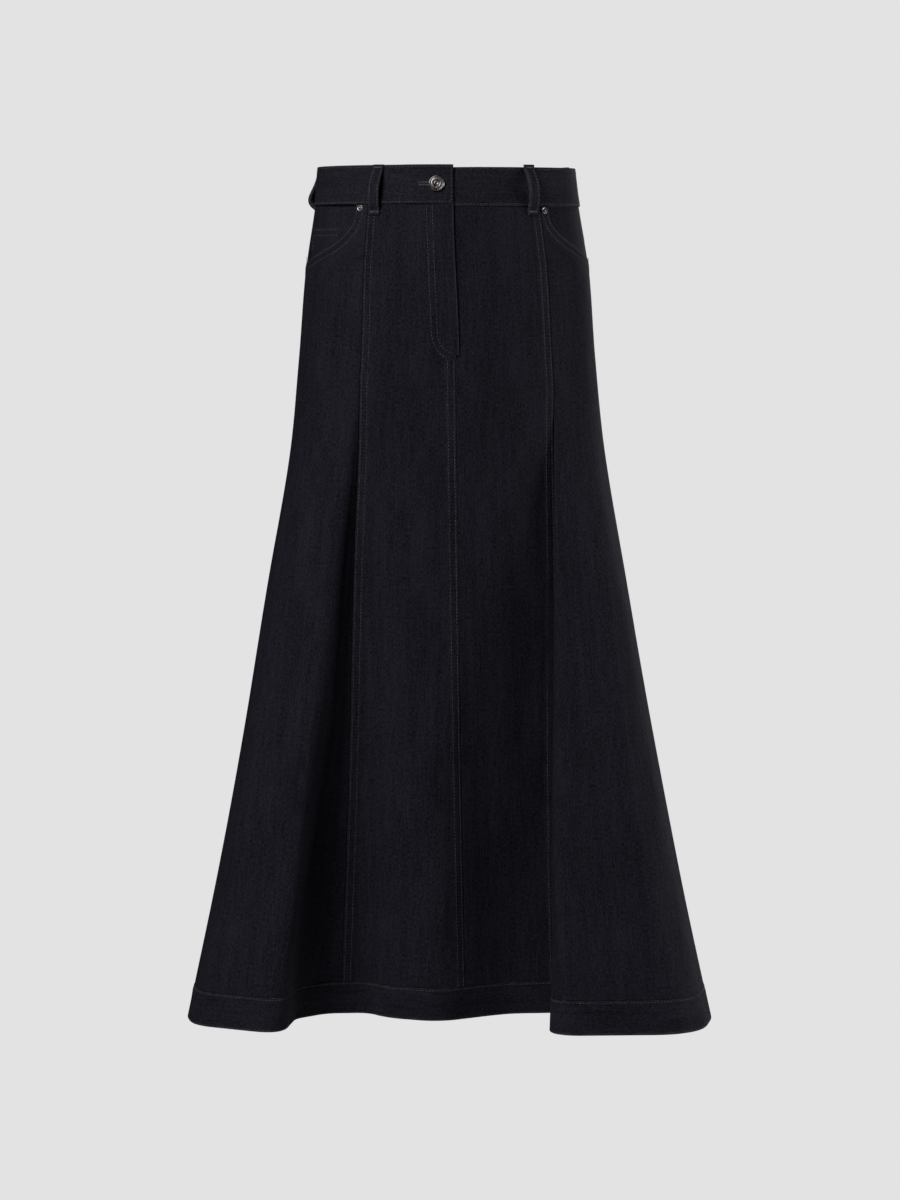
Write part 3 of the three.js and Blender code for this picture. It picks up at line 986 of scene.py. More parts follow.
@dataclass(frozen=True)
class TwinSeam:
    """A felled seam with two rows of topstitching beside its groove."""

    first: float = 2.3
    second: float = 8.4
    proud: float = 0.5

    def relief(self, distance: float, along: float, seed: float) -> float:
        """The cloth's rise beside the groove.

        Args:
            distance: from the groove.
            along: how far down the seam.
            seed: shifts the puckers.

        Returns:
            The rise.
        """
        fall = 1 - smooth(distance, self.second + 0.6, self.second + 3)
        plateau = self.proud * smooth(distance, 0.2, 1.4) * fall
        dents = 0.28 * (hump(distance - self.first, 0.8) + hump(distance - self.second, 0.8))
        pucker = 0.16 * hump(distance - 5.4, 5.0) * ripple(along, seed)
        return plateau - dents + pucker + roll(distance, 0.9)

    def wear_and_highlight(self, distance: float, along: float, seed: float) -> float:
        """How much the cloth beside the groove is lightened: partly rubbed wear, partly painted highlight on
        its ridges.
        """
        ridges = hump(distance - 0.9, 0.7) + 0.5 * hump(distance - self.second - 1.2, 0.8)
        return ridges * (0.22 + 0.16 * ripple(along, seed + 1.7))


SEAM = TwinSeam()


@dataclass(frozen=True)
class Crease:
    """A soft crease or ripple that hangs down one gore."""

    name: str
    top_level: float
    bottom_level: float
    top_place: float
    bottom_place: float
    width: float
    height: float
    bend: float = 1.0


CREASES = (
    Crease("left flare ridge", -300, -900, 1.36, 1.66, 6.5, 2.3, 0.72),
    Crease("left hip ripple", -90, -330, 1.45, 1.5, 14, 0.8),
    Crease("right flare ridge", -520, -900, 6.42, 6.3, 12, 1.2),
    Crease("right hip ripple", -110, -380, 6.55, 6.5, 14, 0.9),
    Crease("right panel ripple", -330, -800, 7.45, 7.4, 10, 0.8),
    Crease("left panel ripple", -260, -700, 0.5, 0.48, 9, 0.7),
    Crease("back right ripple", -320, -860, 4.5, 4.5, 12, 1.0),
    Crease("back left ripple", -300, -860, 3.5, 3.45, 12, -0.9),
    Crease("side back right ripple", -420, -900, 5.6, 5.5, 16, 1.6),
    Crease("side back left ripple", -400, -900, 2.45, 2.5, 16, 1.6),
)


def drape(u: float, level: float) -> float:
    """The small creases and ripples of hung cloth at a place.

    Args:
        u: the place round the skirt, in seams.
        level: the level.

    Returns:
        The rise, in millimetres.
    """
    total = 0.35 * math.sin(u * 9.7 + level / 61) * smooth(-level, 30, 120)
    for crease in CREASES:
        if level > crease.top_level or level < crease.bottom_level:
            continue
        share = (crease.top_level - level) / (crease.top_level - crease.bottom_level)
        middle = mix(crease.top_place, crease.bottom_place, share**crease.bend)
        if abs(u - middle) > 0.6:
            continue
        span = (FORM.point(middle + 0.02, level) - FORM.point(middle - 0.02, level)).length / MM / 0.04
        fade = smooth(share, 0, 0.25) * (1 - smooth(share, 0.92, 1.0) * 0.3)
        total += crease.height * fade * hump((u - middle) * span, crease.width)
    return total


@dataclass
class Gores:
    """The eight gores, with the fly's edge and the pocket mouths."""

    row_step: float = 3.4
    centre_columns: int = 11
    side_columns: int = 40
    front_columns: int = 58
    fly_end: float = -172.0
    fly_settle: float = 9.0
    fly_lap: float = 3.0
    fly_raised: float = 24.0
    fly_ramp: float = 14.0
    fly_folds: float = 1.6
    fly_near: float = 21.6
    fly_far: float = 28.0
    calm: float = 18.0
    far: float = 99.0
    mouth_reach: float = 30.0
    mouth_run: float = 160.0
    mouth_rise: float = 0.9
    mouth: dict[Side, tuple[tuple[float, float], ...]] = field(
        default_factory=lambda: {
            Side.RIGHT: ((317, -19.5), (319, -52), (307, -65), (269, -79.5)),
            Side.LEFT: ((48.8, -19.5), (47.2, -46), (58, -58), (93, -76.5)),
        }
    )

    def mouth_point(self, side: Side, t: float) -> tuple[float, float]:
        """The bearing and level of a pocket mouth at a share of its curve.

        Args:
            side: the wearer's side.
            t: the share, from the band down.

        Returns:
            The bearing and the level.
        """
        a, b, c, d = self.mouth[side]
        weights = ((1 - t) ** 3, 3 * t * (1 - t) ** 2, 3 * t * t * (1 - t), t**3)
        return tuple(sum(w * p[k] for w, p in zip(weights, (a, b, c, d))) for k in (0, 1))

    def mouth_bearing(self, side: Side, level: float) -> float:
        """The bearing of a pocket mouth at a level.

        Args:
            side: the wearer's side.
            level: the level.

        Returns:
            The bearing.
        """
        low, high = 0.0, 1.0
        for _ in range(32):
            middle = (low + high) / 2
            if self.mouth_point(side, middle)[1] > level:
                low = middle
            else:
                high = middle
        return self.mouth_point(side, low)[0]

    def mouth_path(self, side: Side, points: int = 40) -> list[tuple[float, float]]:
        """Places and levels along a pocket mouth, from the band to the side seam."""
        path = [self.mouth_point(side, i / points) for i in range(points + 1)]
        return [(FORM.place(bearing, level), level) for bearing, level in path]

    def levels(self, dense: Iterable[float] = ()) -> list[float]:
        """The rows of a gore.

        Args:
            dense: levels to add.

        Returns:
            The rows' levels, from the top down.
        """
        rows = steps(GORE_TOP - 1.2, GORE_BOTTOM + 1.2, self.row_step)
        edge = [GORE_TOP, GORE_TOP - 0.5, GORE_BOTTOM + 0.5, GORE_BOTTOM]
        return sorted({*rows, *edge, *dense}, reverse=True)

    @staticmethod
    def ends(spot: Spot) -> float:
        """The rounding of a gore's top and bottom edges."""
        return roll(spot.top, 0.6) + roll(spot.bottom, 0.6)

    def hung(self, spot: Spot) -> float:
        """The drape of a gore, calm beside its edges, with its rounded ends."""
        beside = smooth(min(spot.left, spot.right), 0, self.calm)
        return drape(spot.u, spot.level) * beside + self.ends(spot)

    def plain(self, name: str, first: int, last: int, half: float, stitched: tuple[bool, bool]) -> Cloth:
        """A gore between two seams.

        Args:
            name: the piece's name.
            first: the seam at its first edge.
            last: the seam at its last edge.
            half: 1 for the right half, -1 for the left.
            stitched: whether its first and last edges carry topstitching.

        Returns:
            The cloth.
        """

        def lift(spot: Spot) -> float:
            """The relief of the gore.

            Args:
                spot: the spot.

            Returns:
                The rise, in millimetres.
            """
            rise = self.hung(spot)
            for on, distance, seam in ((stitched[0], spot.left, first), (stitched[1], spot.right, last)):
                rise += SEAM.relief(distance, spot.level, seam) if on else roll(distance, 0.9)
            return rise

        def wear_and_highlight(spot: Spot) -> float:
            """The gore's lightening beside its stitched seams: partly wear, partly painted highlight."""
            pairs = ((stitched[0], spot.left, first), (stitched[1], spot.right, last))
            return sum(SEAM.wear_and_highlight(distance, spot.level, seam) for on, distance, seam in pairs if on)

        columns = self.side_columns if first in (1, 2, 5, 6) else self.centre_columns
        across = between(fixed(first), fixed(last), columns)
        return Cloth(name, self.levels(), across, lift, wear_and_highlight=wear_and_highlight, half=lambda u, level: half)

    def fly_edge(self, level: float) -> float:
        """The front edge of the right centre gore."""
        lapped = level > self.fly_end - 1
        return FORM.moved(FORM.around, level, self.fly_lap + EDGE_GAP) if lapped else float(FORM.around)

    def fly_raise(self, u: float, level: float) -> float:
        """How far the fly is raised over the left gore.

        Args:
            u: the place round the skirt, in seams.
            level: the level.

        Returns:
            The rise, in millimetres.
        """
        down = smooth(-level, 2 - self.fly_end, 2 - self.fly_end + self.fly_settle)
        if down >= 1:
            return 0.0
        start = FORM.moved(FORM.around, level, -self.fly_raised - self.fly_ramp)
        end = FORM.moved(FORM.around, level, -self.fly_raised)
        return (CLOTH + SEAM_GAP) * smooth(u, start, end) * (1 - down)

    def front_right(self) -> Cloth:
        """The centre front gore that carries the fly.

        Returns:
            The cloth.
        """
        close = [self.fly_end + step for step in (0.0, -0.9, -2.0, -4.0)]

        def lift(spot: Spot) -> float:
            """The relief of the gore.

            Args:
                spot: the spot.

            Returns:
                The rise, in millimetres.
            """
            rise = self.hung(spot)
            rise += SEAM.relief(spot.left, spot.level, 7)
            if spot.level > self.fly_end - 1:
                edge = 0.12 * hump(spot.right - 3, 3) * ripple(spot.level, 9.0)
                rise += roll(spot.right, 0.9) + edge + self.fly_ridge(spot.right, spot.level)
            else:
                rise += SEAM.relief(spot.right, spot.level, 8)
            return rise + self.fly_raise(spot.u, spot.level)

        def wear_and_highlight(spot: Spot) -> float:
            """The gore's lightening beside its seams and fly edge: partly wear, partly painted highlight.

            Args:
                spot: the spot.

            Returns:
                The wear, 0 if unrubbed.
            """
            worn_and_highlight = SEAM.wear_and_highlight(spot.left, spot.level, 7)
            if spot.level > self.fly_end - 1:
                return worn_and_highlight + 0.35 * hump(spot.right - 0.5, 0.8)
            return worn_and_highlight + SEAM.wear_and_highlight(spot.right, spot.level, 8)

        return Cloth(
            "front_right",
            self.levels(close),
            between(fixed(7), self.fly_edge, self.centre_columns),
            lift,
            wear_and_highlight=wear_and_highlight,
            half=lambda u, level: 1.0,
        )

    def fly_ridge(self, distance: float, level: float) -> float:
        """The fly's thick folded edge, and the dents along its two rows of topstitching.

        Args:
            distance: how far from the fly's edge.
            level: the level.

        Returns:
            The rise, in millimetres.
        """
        rows = 0.22 * (hump(distance - self.fly_near, 1.4) + hump(distance - self.fly_far, 1.4))
        fade = smooth(level, self.fly_end, self.fly_end + 14)
        folded = self.fly_folds * (1 - smooth(distance, 4, 17)) * fade
        pucker = 0.12 * hump(distance - 25, 6) * ripple(level, 5.0)
        return (pucker - rows) * smooth(level, -160, -140) + folded

    def side_front(self, side: Side) -> Cloth:
        """A side front gore, cut away along its pocket mouth.

        Args:
            side: the wearer's side.

        Returns:
            The cloth.
        """
        right = side is Side.RIGHT
        princess, seam = (7, 6) if right else (1, 2)
        mouth_end = self.mouth[side][3][1]
        path = [FORM.point(u, level) for u, level in self.mouth_path(side)]

        def edge(level: float) -> float:
            """The outer edge: the mouth, and the side seam below it."""
            return float(seam) if level <= mouth_end else FORM.place(self.mouth_bearing(side, level), level)

        def from_mouth(spot: Spot) -> float:
            """How far a spot lies from the pocket mouth.

            Args:
                spot: the spot.

            Returns:
                The distance, or a far one well below the mouth.
            """
            if spot.level < mouth_end - 14:
                return self.far
            here = FORM.point(spot.u, spot.level)
            best = self.far
            for a, b in zip(path, path[1:]):
                along = b - a
                t = min(max((here - a).dot(along) / along.length_squared, 0.0), 1.0)
                best = min(best, (here - a - along * t).length / MM)
            return best

        def lift(spot: Spot) -> float:
            """The relief of the gore.

            Args:
                spot: the spot.

            Returns:
                The rise, in millimetres.
            """
            outer, inner = (spot.left, spot.right) if right else (spot.right, spot.left)
            rise = self.hung(spot) + roll(inner, 0.9)
            mouth = from_mouth(spot)
            if mouth < self.mouth_reach:
                rise += SEAM.relief(mouth, spot.u * self.mouth_run, 3.0 + seam) * self.mouth_rise
            else:
                rise += roll(outer, 0.9)
            return rise

        def wear_and_highlight(spot: Spot) -> float:
            """The lightening along the pocket mouth: partly wear, partly painted highlight."""
            mouth = from_mouth(spot)
            return SEAM.wear_and_highlight(mouth, spot.u * self.mouth_run, 3.0) * 1.3 if mouth < self.mouth_reach else 0.0

        first, last = (edge, fixed(princess)) if right else (fixed(princess), edge)
        dense = steps(-24.0, mouth_end - 6, 1.7) + [mouth_end, mouth_end - 0.6]
        name = "side_front_right" if right else "side_front_left"
        half = 1.0 if right else -1.0
        return Cloth(
            name,
            self.levels(dense),
            between(first, last, self.front_columns, -side.value),
            lift,
            wear_and_highlight=wear_and_highlight,
            half=lambda u, level: half,
        )

    def all(self) -> list[Cloth]:
        """All eight gores.

        Returns:
            The cloths.
        """
        return [
            self.front_right(),
            self.plain("front_left", 0, 1, -1.0, (False, True)),
            self.side_front(Side.RIGHT),
            self.side_front(Side.LEFT),
            self.plain("side_back_right", 5, 6, 1.0, (False, False)),
            self.plain("side_back_left", 2, 3, -1.0, (False, False)),
            self.plain("back_right", 4, 5, 1.0, (False, True)),
            self.plain("back_left", 3, 4, -1.0, (True, True)),
        ]


@dataclass
class PocketPieces:
    """The facings behind the pocket mouths, and the coin pocket."""

    gores: Gores
    under_down: float = 14.0
    under_degrees: float = 5.0
    coin_top: float = -42.5
    coin_bottom: float = -76.0
    coin_side: float = 283.0
    coin_cloth: float = 1.0

    def depth(self, side: Side, share: float, level: float) -> float:
        """How deep a facing lies, from its hidden edge at share 0 to the side seam at share 1.

        Args:
            side: the wearer's side.
            share: the share of the facing's width.
            level: the level.

        Returns:
            The lift, below 0.
        """
        under = CLOTH + self.coin_cloth + 3 * SEAM_GAP if side is Side.RIGHT else CLOTH + 2 * SEAM_GAP
        rise = smooth(share, 0.3, 0.95) * (1 - smooth(-level, 52, 74))
        return -mix(under, SEAM_GAP, rise)

    def edge(self, side: Side, level: float) -> float:
        """The hidden edge of a facing.

        Args:
            side: the wearer's side.
            level: the level.

        Returns:
            The edge's place.
        """
        sign = 1 if side is Side.RIGHT else -1
        bearing = self.gores.mouth_bearing(side, level + self.under_down)
        return FORM.place(bearing + sign * self.under_degrees, level)

    def facing(self, side: Side) -> Cloth:
        """One facing.

        Args:
            side: the wearer's side.

        Returns:
            The cloth.
        """
        right = side is Side.RIGHT
        bottom = self.gores.mouth[side][3][1] - self.under_down + 1

        def hidden(level: float) -> float:
            """The facing's hidden edge."""
            return self.edge(side, level)

        def lift(spot: Spot) -> float:
            """The depth of the facing.

            Args:
                spot: the spot.

            Returns:
                The rise, in millimetres.
            """
            width = spot.left + spot.right
            share = spot.right / width if right else spot.left / width
            return self.depth(side, share, spot.level) - 0.05

        first, last = (fixed(6), hidden) if right else (hidden, fixed(2))
        half = 1.0 if right else -1.0
        name = "pocket_facing_right" if right else "pocket_facing_left"
        levels = steps(GORE_TOP, bottom, 2.5)
        return Cloth(name, levels, between(first, last, 12), lift, half=lambda u, level: half)

    def coin(self) -> Cloth:
        """The coin pocket on the right facing.

        Returns:
            The cloth.
        """

        def side_edge(level: float) -> float:
            """The edge near the side seam."""
            return FORM.place(self.coin_side, level)

        def under_edge(level: float) -> float:
            """The edge under the mouth."""
            return FORM.place(self.gores.mouth_bearing(Side.RIGHT, level + 6) + 3.0, level)

        def lift(spot: Spot) -> float:
            """The coin pocket lies on the facing.

            Args:
                spot: the spot.

            Returns:
                The rise, in millimetres.
            """
            inner = self.edge(Side.RIGHT, spot.level)
            share = min(max((inner - spot.u) / (inner - 6), 0.0), 1.0)
            seat = self.depth(Side.RIGHT, share, spot.level) + SEAM_GAP + self.coin_cloth
            dents = 0.2 * (hump(spot.top - 2.2, 0.8) + hump(spot.top - 7.8, 0.8) + hump(spot.left - 1.8, 0.8))
            return seat - dents + roll(spot.top, 0.5) + roll(spot.left, 0.5)

        levels = [self.coin_top - step for step in (0.0, 0.4, 1.0, 2.2, 3.4, 5.0, 6.6, 7.8, 9.0, 11.0)]
        levels += steps(self.coin_top - 13, self.coin_bottom, 2.2)
        across = between(side_edge, under_edge, 10)
        return Cloth(
            "coin_pocket",
            levels,
            across,
            lift,
            thick=self.coin_cloth,
            half=lambda u, level: 1.0,
            # Its top edge is lightened: partly wear, partly painted highlight.
            wear_and_highlight=lambda spot: 0.25 * hump(spot.top, 0.8),
        )


@dataclass
class Bands:
    """The waistband's halves and the hem band's lengths."""

    lap_over: float = 3.0
    lap_under: float = 34.0
    lap_ramp: float = 30.0
    fly_raised: float = 24.0
    row: float = 2.2
    run: float = 95.0
    slit_start: float = 18.5
    slit_end: float = 33.0
    slit_level: float = 1.5
    slit_deep: float = 1.1

    def step(self, side: Side, u: float, level: float) -> float:
        """How far a half of the waistband is stepped out or in at the front.

        Args:
            side: the wearer's side.
            u: the place round the skirt, in seams.
            level: the level.

        Returns:
            The lift, below 0 where it is stepped in.
        """
        right = side is Side.RIGHT
        far = self.lap_under + self.lap_ramp if right else self.lap_ramp
        near = self.lap_under + 1 if right else 1.0
        middle, way = (FORM.around, -1) if right else (0, 1)
        start = FORM.moved(middle, level, way * far)
        end = FORM.moved(middle, level, way * near)
        share = smooth(u, start, end) if right else 1 - smooth(u, end, start)
        return -side.value * (BAND_CLOTH + SEAM_GAP) / 2 * share

    def relief(self, spot: Spot) -> float:
        """The waistband's rolled edges, stitch dents and puckers.

        Args:
            spot: the spot.

        Returns:
            The rise, in millimetres.
        """
        run = spot.u * self.run
        edges = roll(spot.top, 1.1) + roll(spot.bottom, 0.8)
        dents = 0.3 * (hump(spot.top - self.row, 0.8) + hump(spot.bottom - self.row, 0.8))
        pucker = hump(spot.top - 3, 3.5) * ripple(run, 2.0) + hump(spot.bottom - 3, 4) * ripple(run, 6.0)
        wave = 0.25 * math.sin(run / 17 + 1) * math.sin(math.pi * spot.top / (spot.top + spot.bottom + 1e-6))
        return edges - dents + 0.14 * pucker + wave

    def waist(self, side: Side) -> Cloth:
        """One half of the waistband.

        Args:
            side: the wearer's side.

        Returns:
            The cloth.
        """
        right = side is Side.RIGHT
        middle, way, reach = (FORM.around, 1, self.lap_over) if right else (0, -1, self.lap_under)

        def front(level: float) -> float:
            """The band's end at the front."""
            return FORM.moved(middle, level, way * reach)

        def lift(spot: Spot) -> float:
            """The band's relief.

            Args:
                spot: the spot.

            Returns:
                The rise, in millimetres.
            """
            end = spot.right if right else spot.left
            dents = 0.25 * hump(end - self.row, 0.8) if right else 0.0
            seam = spot.left if right else spot.right
            rise = BAND_CLOTH / 2 + self.step(side, spot.u, spot.level) + self.relief(spot)
            if right and self.slit_start < end < self.slit_end:
                dents += self.slit_deep * hump(spot.level - self.slit_level, 0.45)
            return rise + roll(end, 1.0) + roll(seam, 0.7) - dents

        def half(u: float, level: float) -> float:
            """Which half's step applies."""
            return 1.0 if right else mix(1, -1, smooth(u, FORM.moved(0, level, 2 - self.fly_raised), 0))

        def wear_and_highlight(spot: Spot) -> float:
            """The band's lightened edges: partly rubbed wear, partly painted highlight.

            Args:
                spot: the spot.

            Returns:
                The lightening, 0 where there is none.
            """
            run = spot.u * self.run
            top = (0.45 + 0.25 * ripple(run, 3.0)) * hump(spot.top - 0.3, 0.9)
            return top + (0.3 + 0.2 * ripple(run, 5.0)) * hump(spot.bottom - 0.3, 0.9)

        bottom = BAND_SEAM
        top_rows = [BAND_TOP - step for step in (0.0, 0.3, 0.7, 1.2, 1.7, 2.2, 2.8, 3.6, 5.0, 7.0)]
        bottom_rows = [bottom + step for step in (7.0, 5.0, 3.6, 2.8, 2.2, 1.6, 1.0, 0.5, 0.0)]
        slit_steps = (1.4, 0.9, 0.6, 0.35, 0.15, 0.0, -0.15, -0.35, -0.6, -0.9, -1.4)
        slit = [self.slit_level + step for step in slit_steps]
        above = steps(BAND_TOP - 10, self.slit_level + 2.6, 3.2)
        levels = top_rows + above + slit + steps(self.slit_level - 2.6, bottom + 10, 3.2) + bottom_rows
        count = 108 if right else 116
        first, last = (fixed(4), front) if right else (front, fixed(4))
        return Cloth(
            "waistband_right" if right else "waistband_left",
            levels,
            between(first, last, count),
            lift,
            thick=BAND_CLOTH,
            half=half,
            grain=Grain.ROUND,
            finish=BAND_DENIM_PAINTED_LIT,
            wear_and_highlight=wear_and_highlight,
            held="folded",
        )

    def hem(self, name: str, first: int, last: int) -> Cloth:
        """One length of the hem band.

        Args:
            name: the piece's name.
            first: the seam at its start.
            last: the seam at its end.

        Returns:
            The cloth.
        """

        def lift(spot: Spot) -> float:
            """The hem band's relief.

            Args:
                spot: the spot.

            Returns:
                The rise, in millimetres.
            """
            run = spot.left
            top_pucker = 0.42 * hump(spot.top - 5, 5) * ripple(run * 0.7, 2.0 + first)
            foot = 0.16 * hump(spot.bottom - 4, 6) * ripple(run * 0.45, 7.0)
            dents = 0.35 * hump(spot.top - self.row, 0.9)
            edges = roll(spot.top, 0.8) + roll(spot.bottom, 1.0)
            edges = edges + roll(spot.left, 0.6) + roll(spot.right, 0.6)
            return HEM_PROUD + top_pucker + foot - dents + edges + drape(spot.u, spot.level) * 0.9

        def wear_and_highlight(spot: Spot) -> float:
            """The hem band's lightened edges: partly rubbed wear, partly painted highlight."""
            foot = (0.5 + 0.3 * ripple(spot.left * 0.5, 4.0)) * hump(spot.bottom - 0.5, 1.2)
            return foot + (0.22 + 0.2 * ripple(spot.left, 1.0)) * hump(spot.top - 0.5, 1.0)

        top = HEM_SEAM
        levels = [top - step for step in (0.0, 0.4, 0.9, 1.5, 2.2, 3.0, 4.2, 5.8, 7.6)]
        levels += steps(top - 10.0, HEM + 4.5, 3.2) + [HEM + step for step in (2.6, 1.4, 0.7, 0.3, 0.0)]
        return Cloth(
            name,
            levels,
            between(fixed(first), fixed(last), 330),
            lift,
            thick=HEM_CLOTH,
            grain=Grain.ROUND,
            wear_and_highlight=wear_and_highlight,
            held="folded",
        )

    def all(self) -> list[Cloth]:
        """Both halves and both lengths.

        Returns:
            The cloths.
        """
        return [
            self.waist(Side.RIGHT),
            self.waist(Side.LEFT),
            self.hem("hem_band_front", -2, 2),
            self.hem("hem_band_back", 2, 6),
        ]


@dataclass(frozen=True)
class Loop:
    """A belt loop's bearings, and how far its bow stands off and sags."""

    name: str
    top_bearing: float
    bottom_bearing: float
    stand: float
    sag: float


@dataclass
class BeltLoops:
    """The five belt loops."""

    width: float = 11.0
    cloth: float = 2.0
    top: float = 20.6
    bottom: float = -29.5
    seated: float = 0.12
    loops: tuple[Loop, ...] = (
        Loop("belt_loop_front_right", 328.9, 327.7, 6.2, 1.0),
        Loop("belt_loop_front_left", 38.3, 38.8, 6.2, 1.0),
        Loop("belt_loop_side_right", 257, 257, 7.5, 2.2),
        Loop("belt_loop_side_left", 112, 112, 6.2, 1.2),
        Loop("belt_loop_back", 184, 184, 6.8, 1.0),
    )

    def seat(self, loop: Loop, level: float) -> float:
        """The lift of a loop's outer face at a level.

        Args:
            loop: the loop.
            level: the level.

        Returns:
            The rise, in millimetres.
        """
        share = (self.top - level) / (self.top - self.bottom)
        free = min(max((share - self.seated) / (1 - 2 * self.seated), 0.0), 1.0)
        below = smooth(-level, -BAND_SEAM, -self.bottom - 3)
        bow = max(math.sin(math.pi * free**loop.sag), 0.0) ** 0.8
        seat = SEAM_GAP + BAND_CLOTH / 2 + SkirtForm.waist_step * 0.2
        return mix(seat, SEAM_GAP, below) + loop.stand * bow + self.cloth

    def middle(self, loop: Loop, level: float) -> float:
        """The place of a loop's middle line."""
        share = (self.top - level) / (self.top - self.bottom)
        return FORM.place(mix(loop.top_bearing, loop.bottom_bearing, share), level)

    def build(self, loop: Loop) -> Cloth:
        """One loop's cloth.

        Args:
            loop: the loop.

        Returns:
            The cloth.
        """
        offsets = (0.0, 0.25, 0.6, 1.1, 1.7, 2.4, 3.4, 4.5, 5.5, 6.5, 7.6, 8.6, 9.3, 9.9, 10.4, 10.75, 11.0)

        def across(level: float) -> list[float]:
            """The loop's columns."""
            middle = self.middle(loop, level)
            return [FORM.moved(middle, level, offset - self.width / 2) for offset in offsets]

        def lift(spot: Spot) -> float:
            """The loop's folded edges and stitch dents.

            Args:
                spot: the spot.

            Returns:
                The rise, in millimetres.
            """
            dents = 0.3 * (hump(spot.left - 1.8, 0.6) + hump(spot.right - 1.8, 0.6))
            ends = roll(spot.top, 0.9) + roll(spot.bottom, 0.9)
            edges = roll(spot.left, 0.9) + roll(spot.right, 0.9)
            hollow = 0.25 * hump(spot.left - self.width / 2, 2.4)
            return self.seat(loop, spot.level) + edges + ends - dents - hollow

        levels = [self.top - step for step in (0.0, 0.3, 0.7, 1.2)]
        levels += steps(self.top - 2.4, self.bottom + 2.4, 1.6)
        levels += [self.bottom + step for step in (1.2, 0.7, 0.3, 0.0)]
        return Cloth(
            loop.name,
            levels,
            across,
            lift,
            thick=self.cloth,
            finish=BAND_DENIM_PAINTED_LIT,
            held="folded",
            # The loop's folded edges are lightened: partly wear, partly painted highlight.
            wear_and_highlight=lambda spot: 0.4 * (hump(spot.left - 0.4, 0.6) + hump(spot.right - 0.4, 0.6)),
        )


@dataclass
class FlyPieces:
    """The zip tape and the shield behind the fly."""

    zip_inner: float = 14.0
    zip_outer: float = 5.0
    zip_end: float = -158.0
    shield_inner: float = 34.0
    shield_outer: float = 12.0
    shield_end: float = -166.0

    @staticmethod
    def strip(
        name: str, inner: float, outer: float, end: float, lift: float, finish: DenimFinish
    ) -> Cloth:
        """A strip behind the centre front.

        Args:
            name: the piece's name.
            inner: how far it reaches towards the wearer's right.
            outer: how far it reaches towards the left.
            end: the level of its foot.
            lift: how it lies to the form, below 0 inside it.
            finish: its finish.

        Returns:
            The cloth.
        """

        def across(level: float) -> list[float]:
            """The strip's columns.

            Args:
                level: the level.

            Returns:
                The places.
            """
            start = FORM.moved(FORM.around, level, -inner)
            stop = FORM.moved(FORM.around, level, outer)
            return [mix(start, stop, i / 16) for i in range(17)]

        def raised(spot: Spot) -> float:
            """A lift with a slight weave of ribs."""
            return lift - 0.1 + 0.05 * math.sin(spot.left * 2.2)

        return Cloth(name, steps(GORE_TOP - 1.5, end, 3.0), across, raised, finish=finish)

    def all(self) -> list[Cloth]:
        """Both strips.

        Returns:
            The cloths.
        """
        behind = -2 * CLOTH - 2 * SEAM_GAP
        return [
            self.strip("fly_zip", self.zip_inner, self.zip_outer, self.zip_end, -CLOTH - SEAM_GAP, TAPE),
            self.strip("fly_shield", self.shield_inner, self.shield_outer, self.shield_end, behind, DENIM),
        ]


# Sewing


Trail = list[tuple[Vector, Vector]]


@dataclass
class Thread:
    """The size of a stitch."""

    pitch: float = 3.4
    length: float = 2.5
    width: float = 0.58
    height: float = 0.5


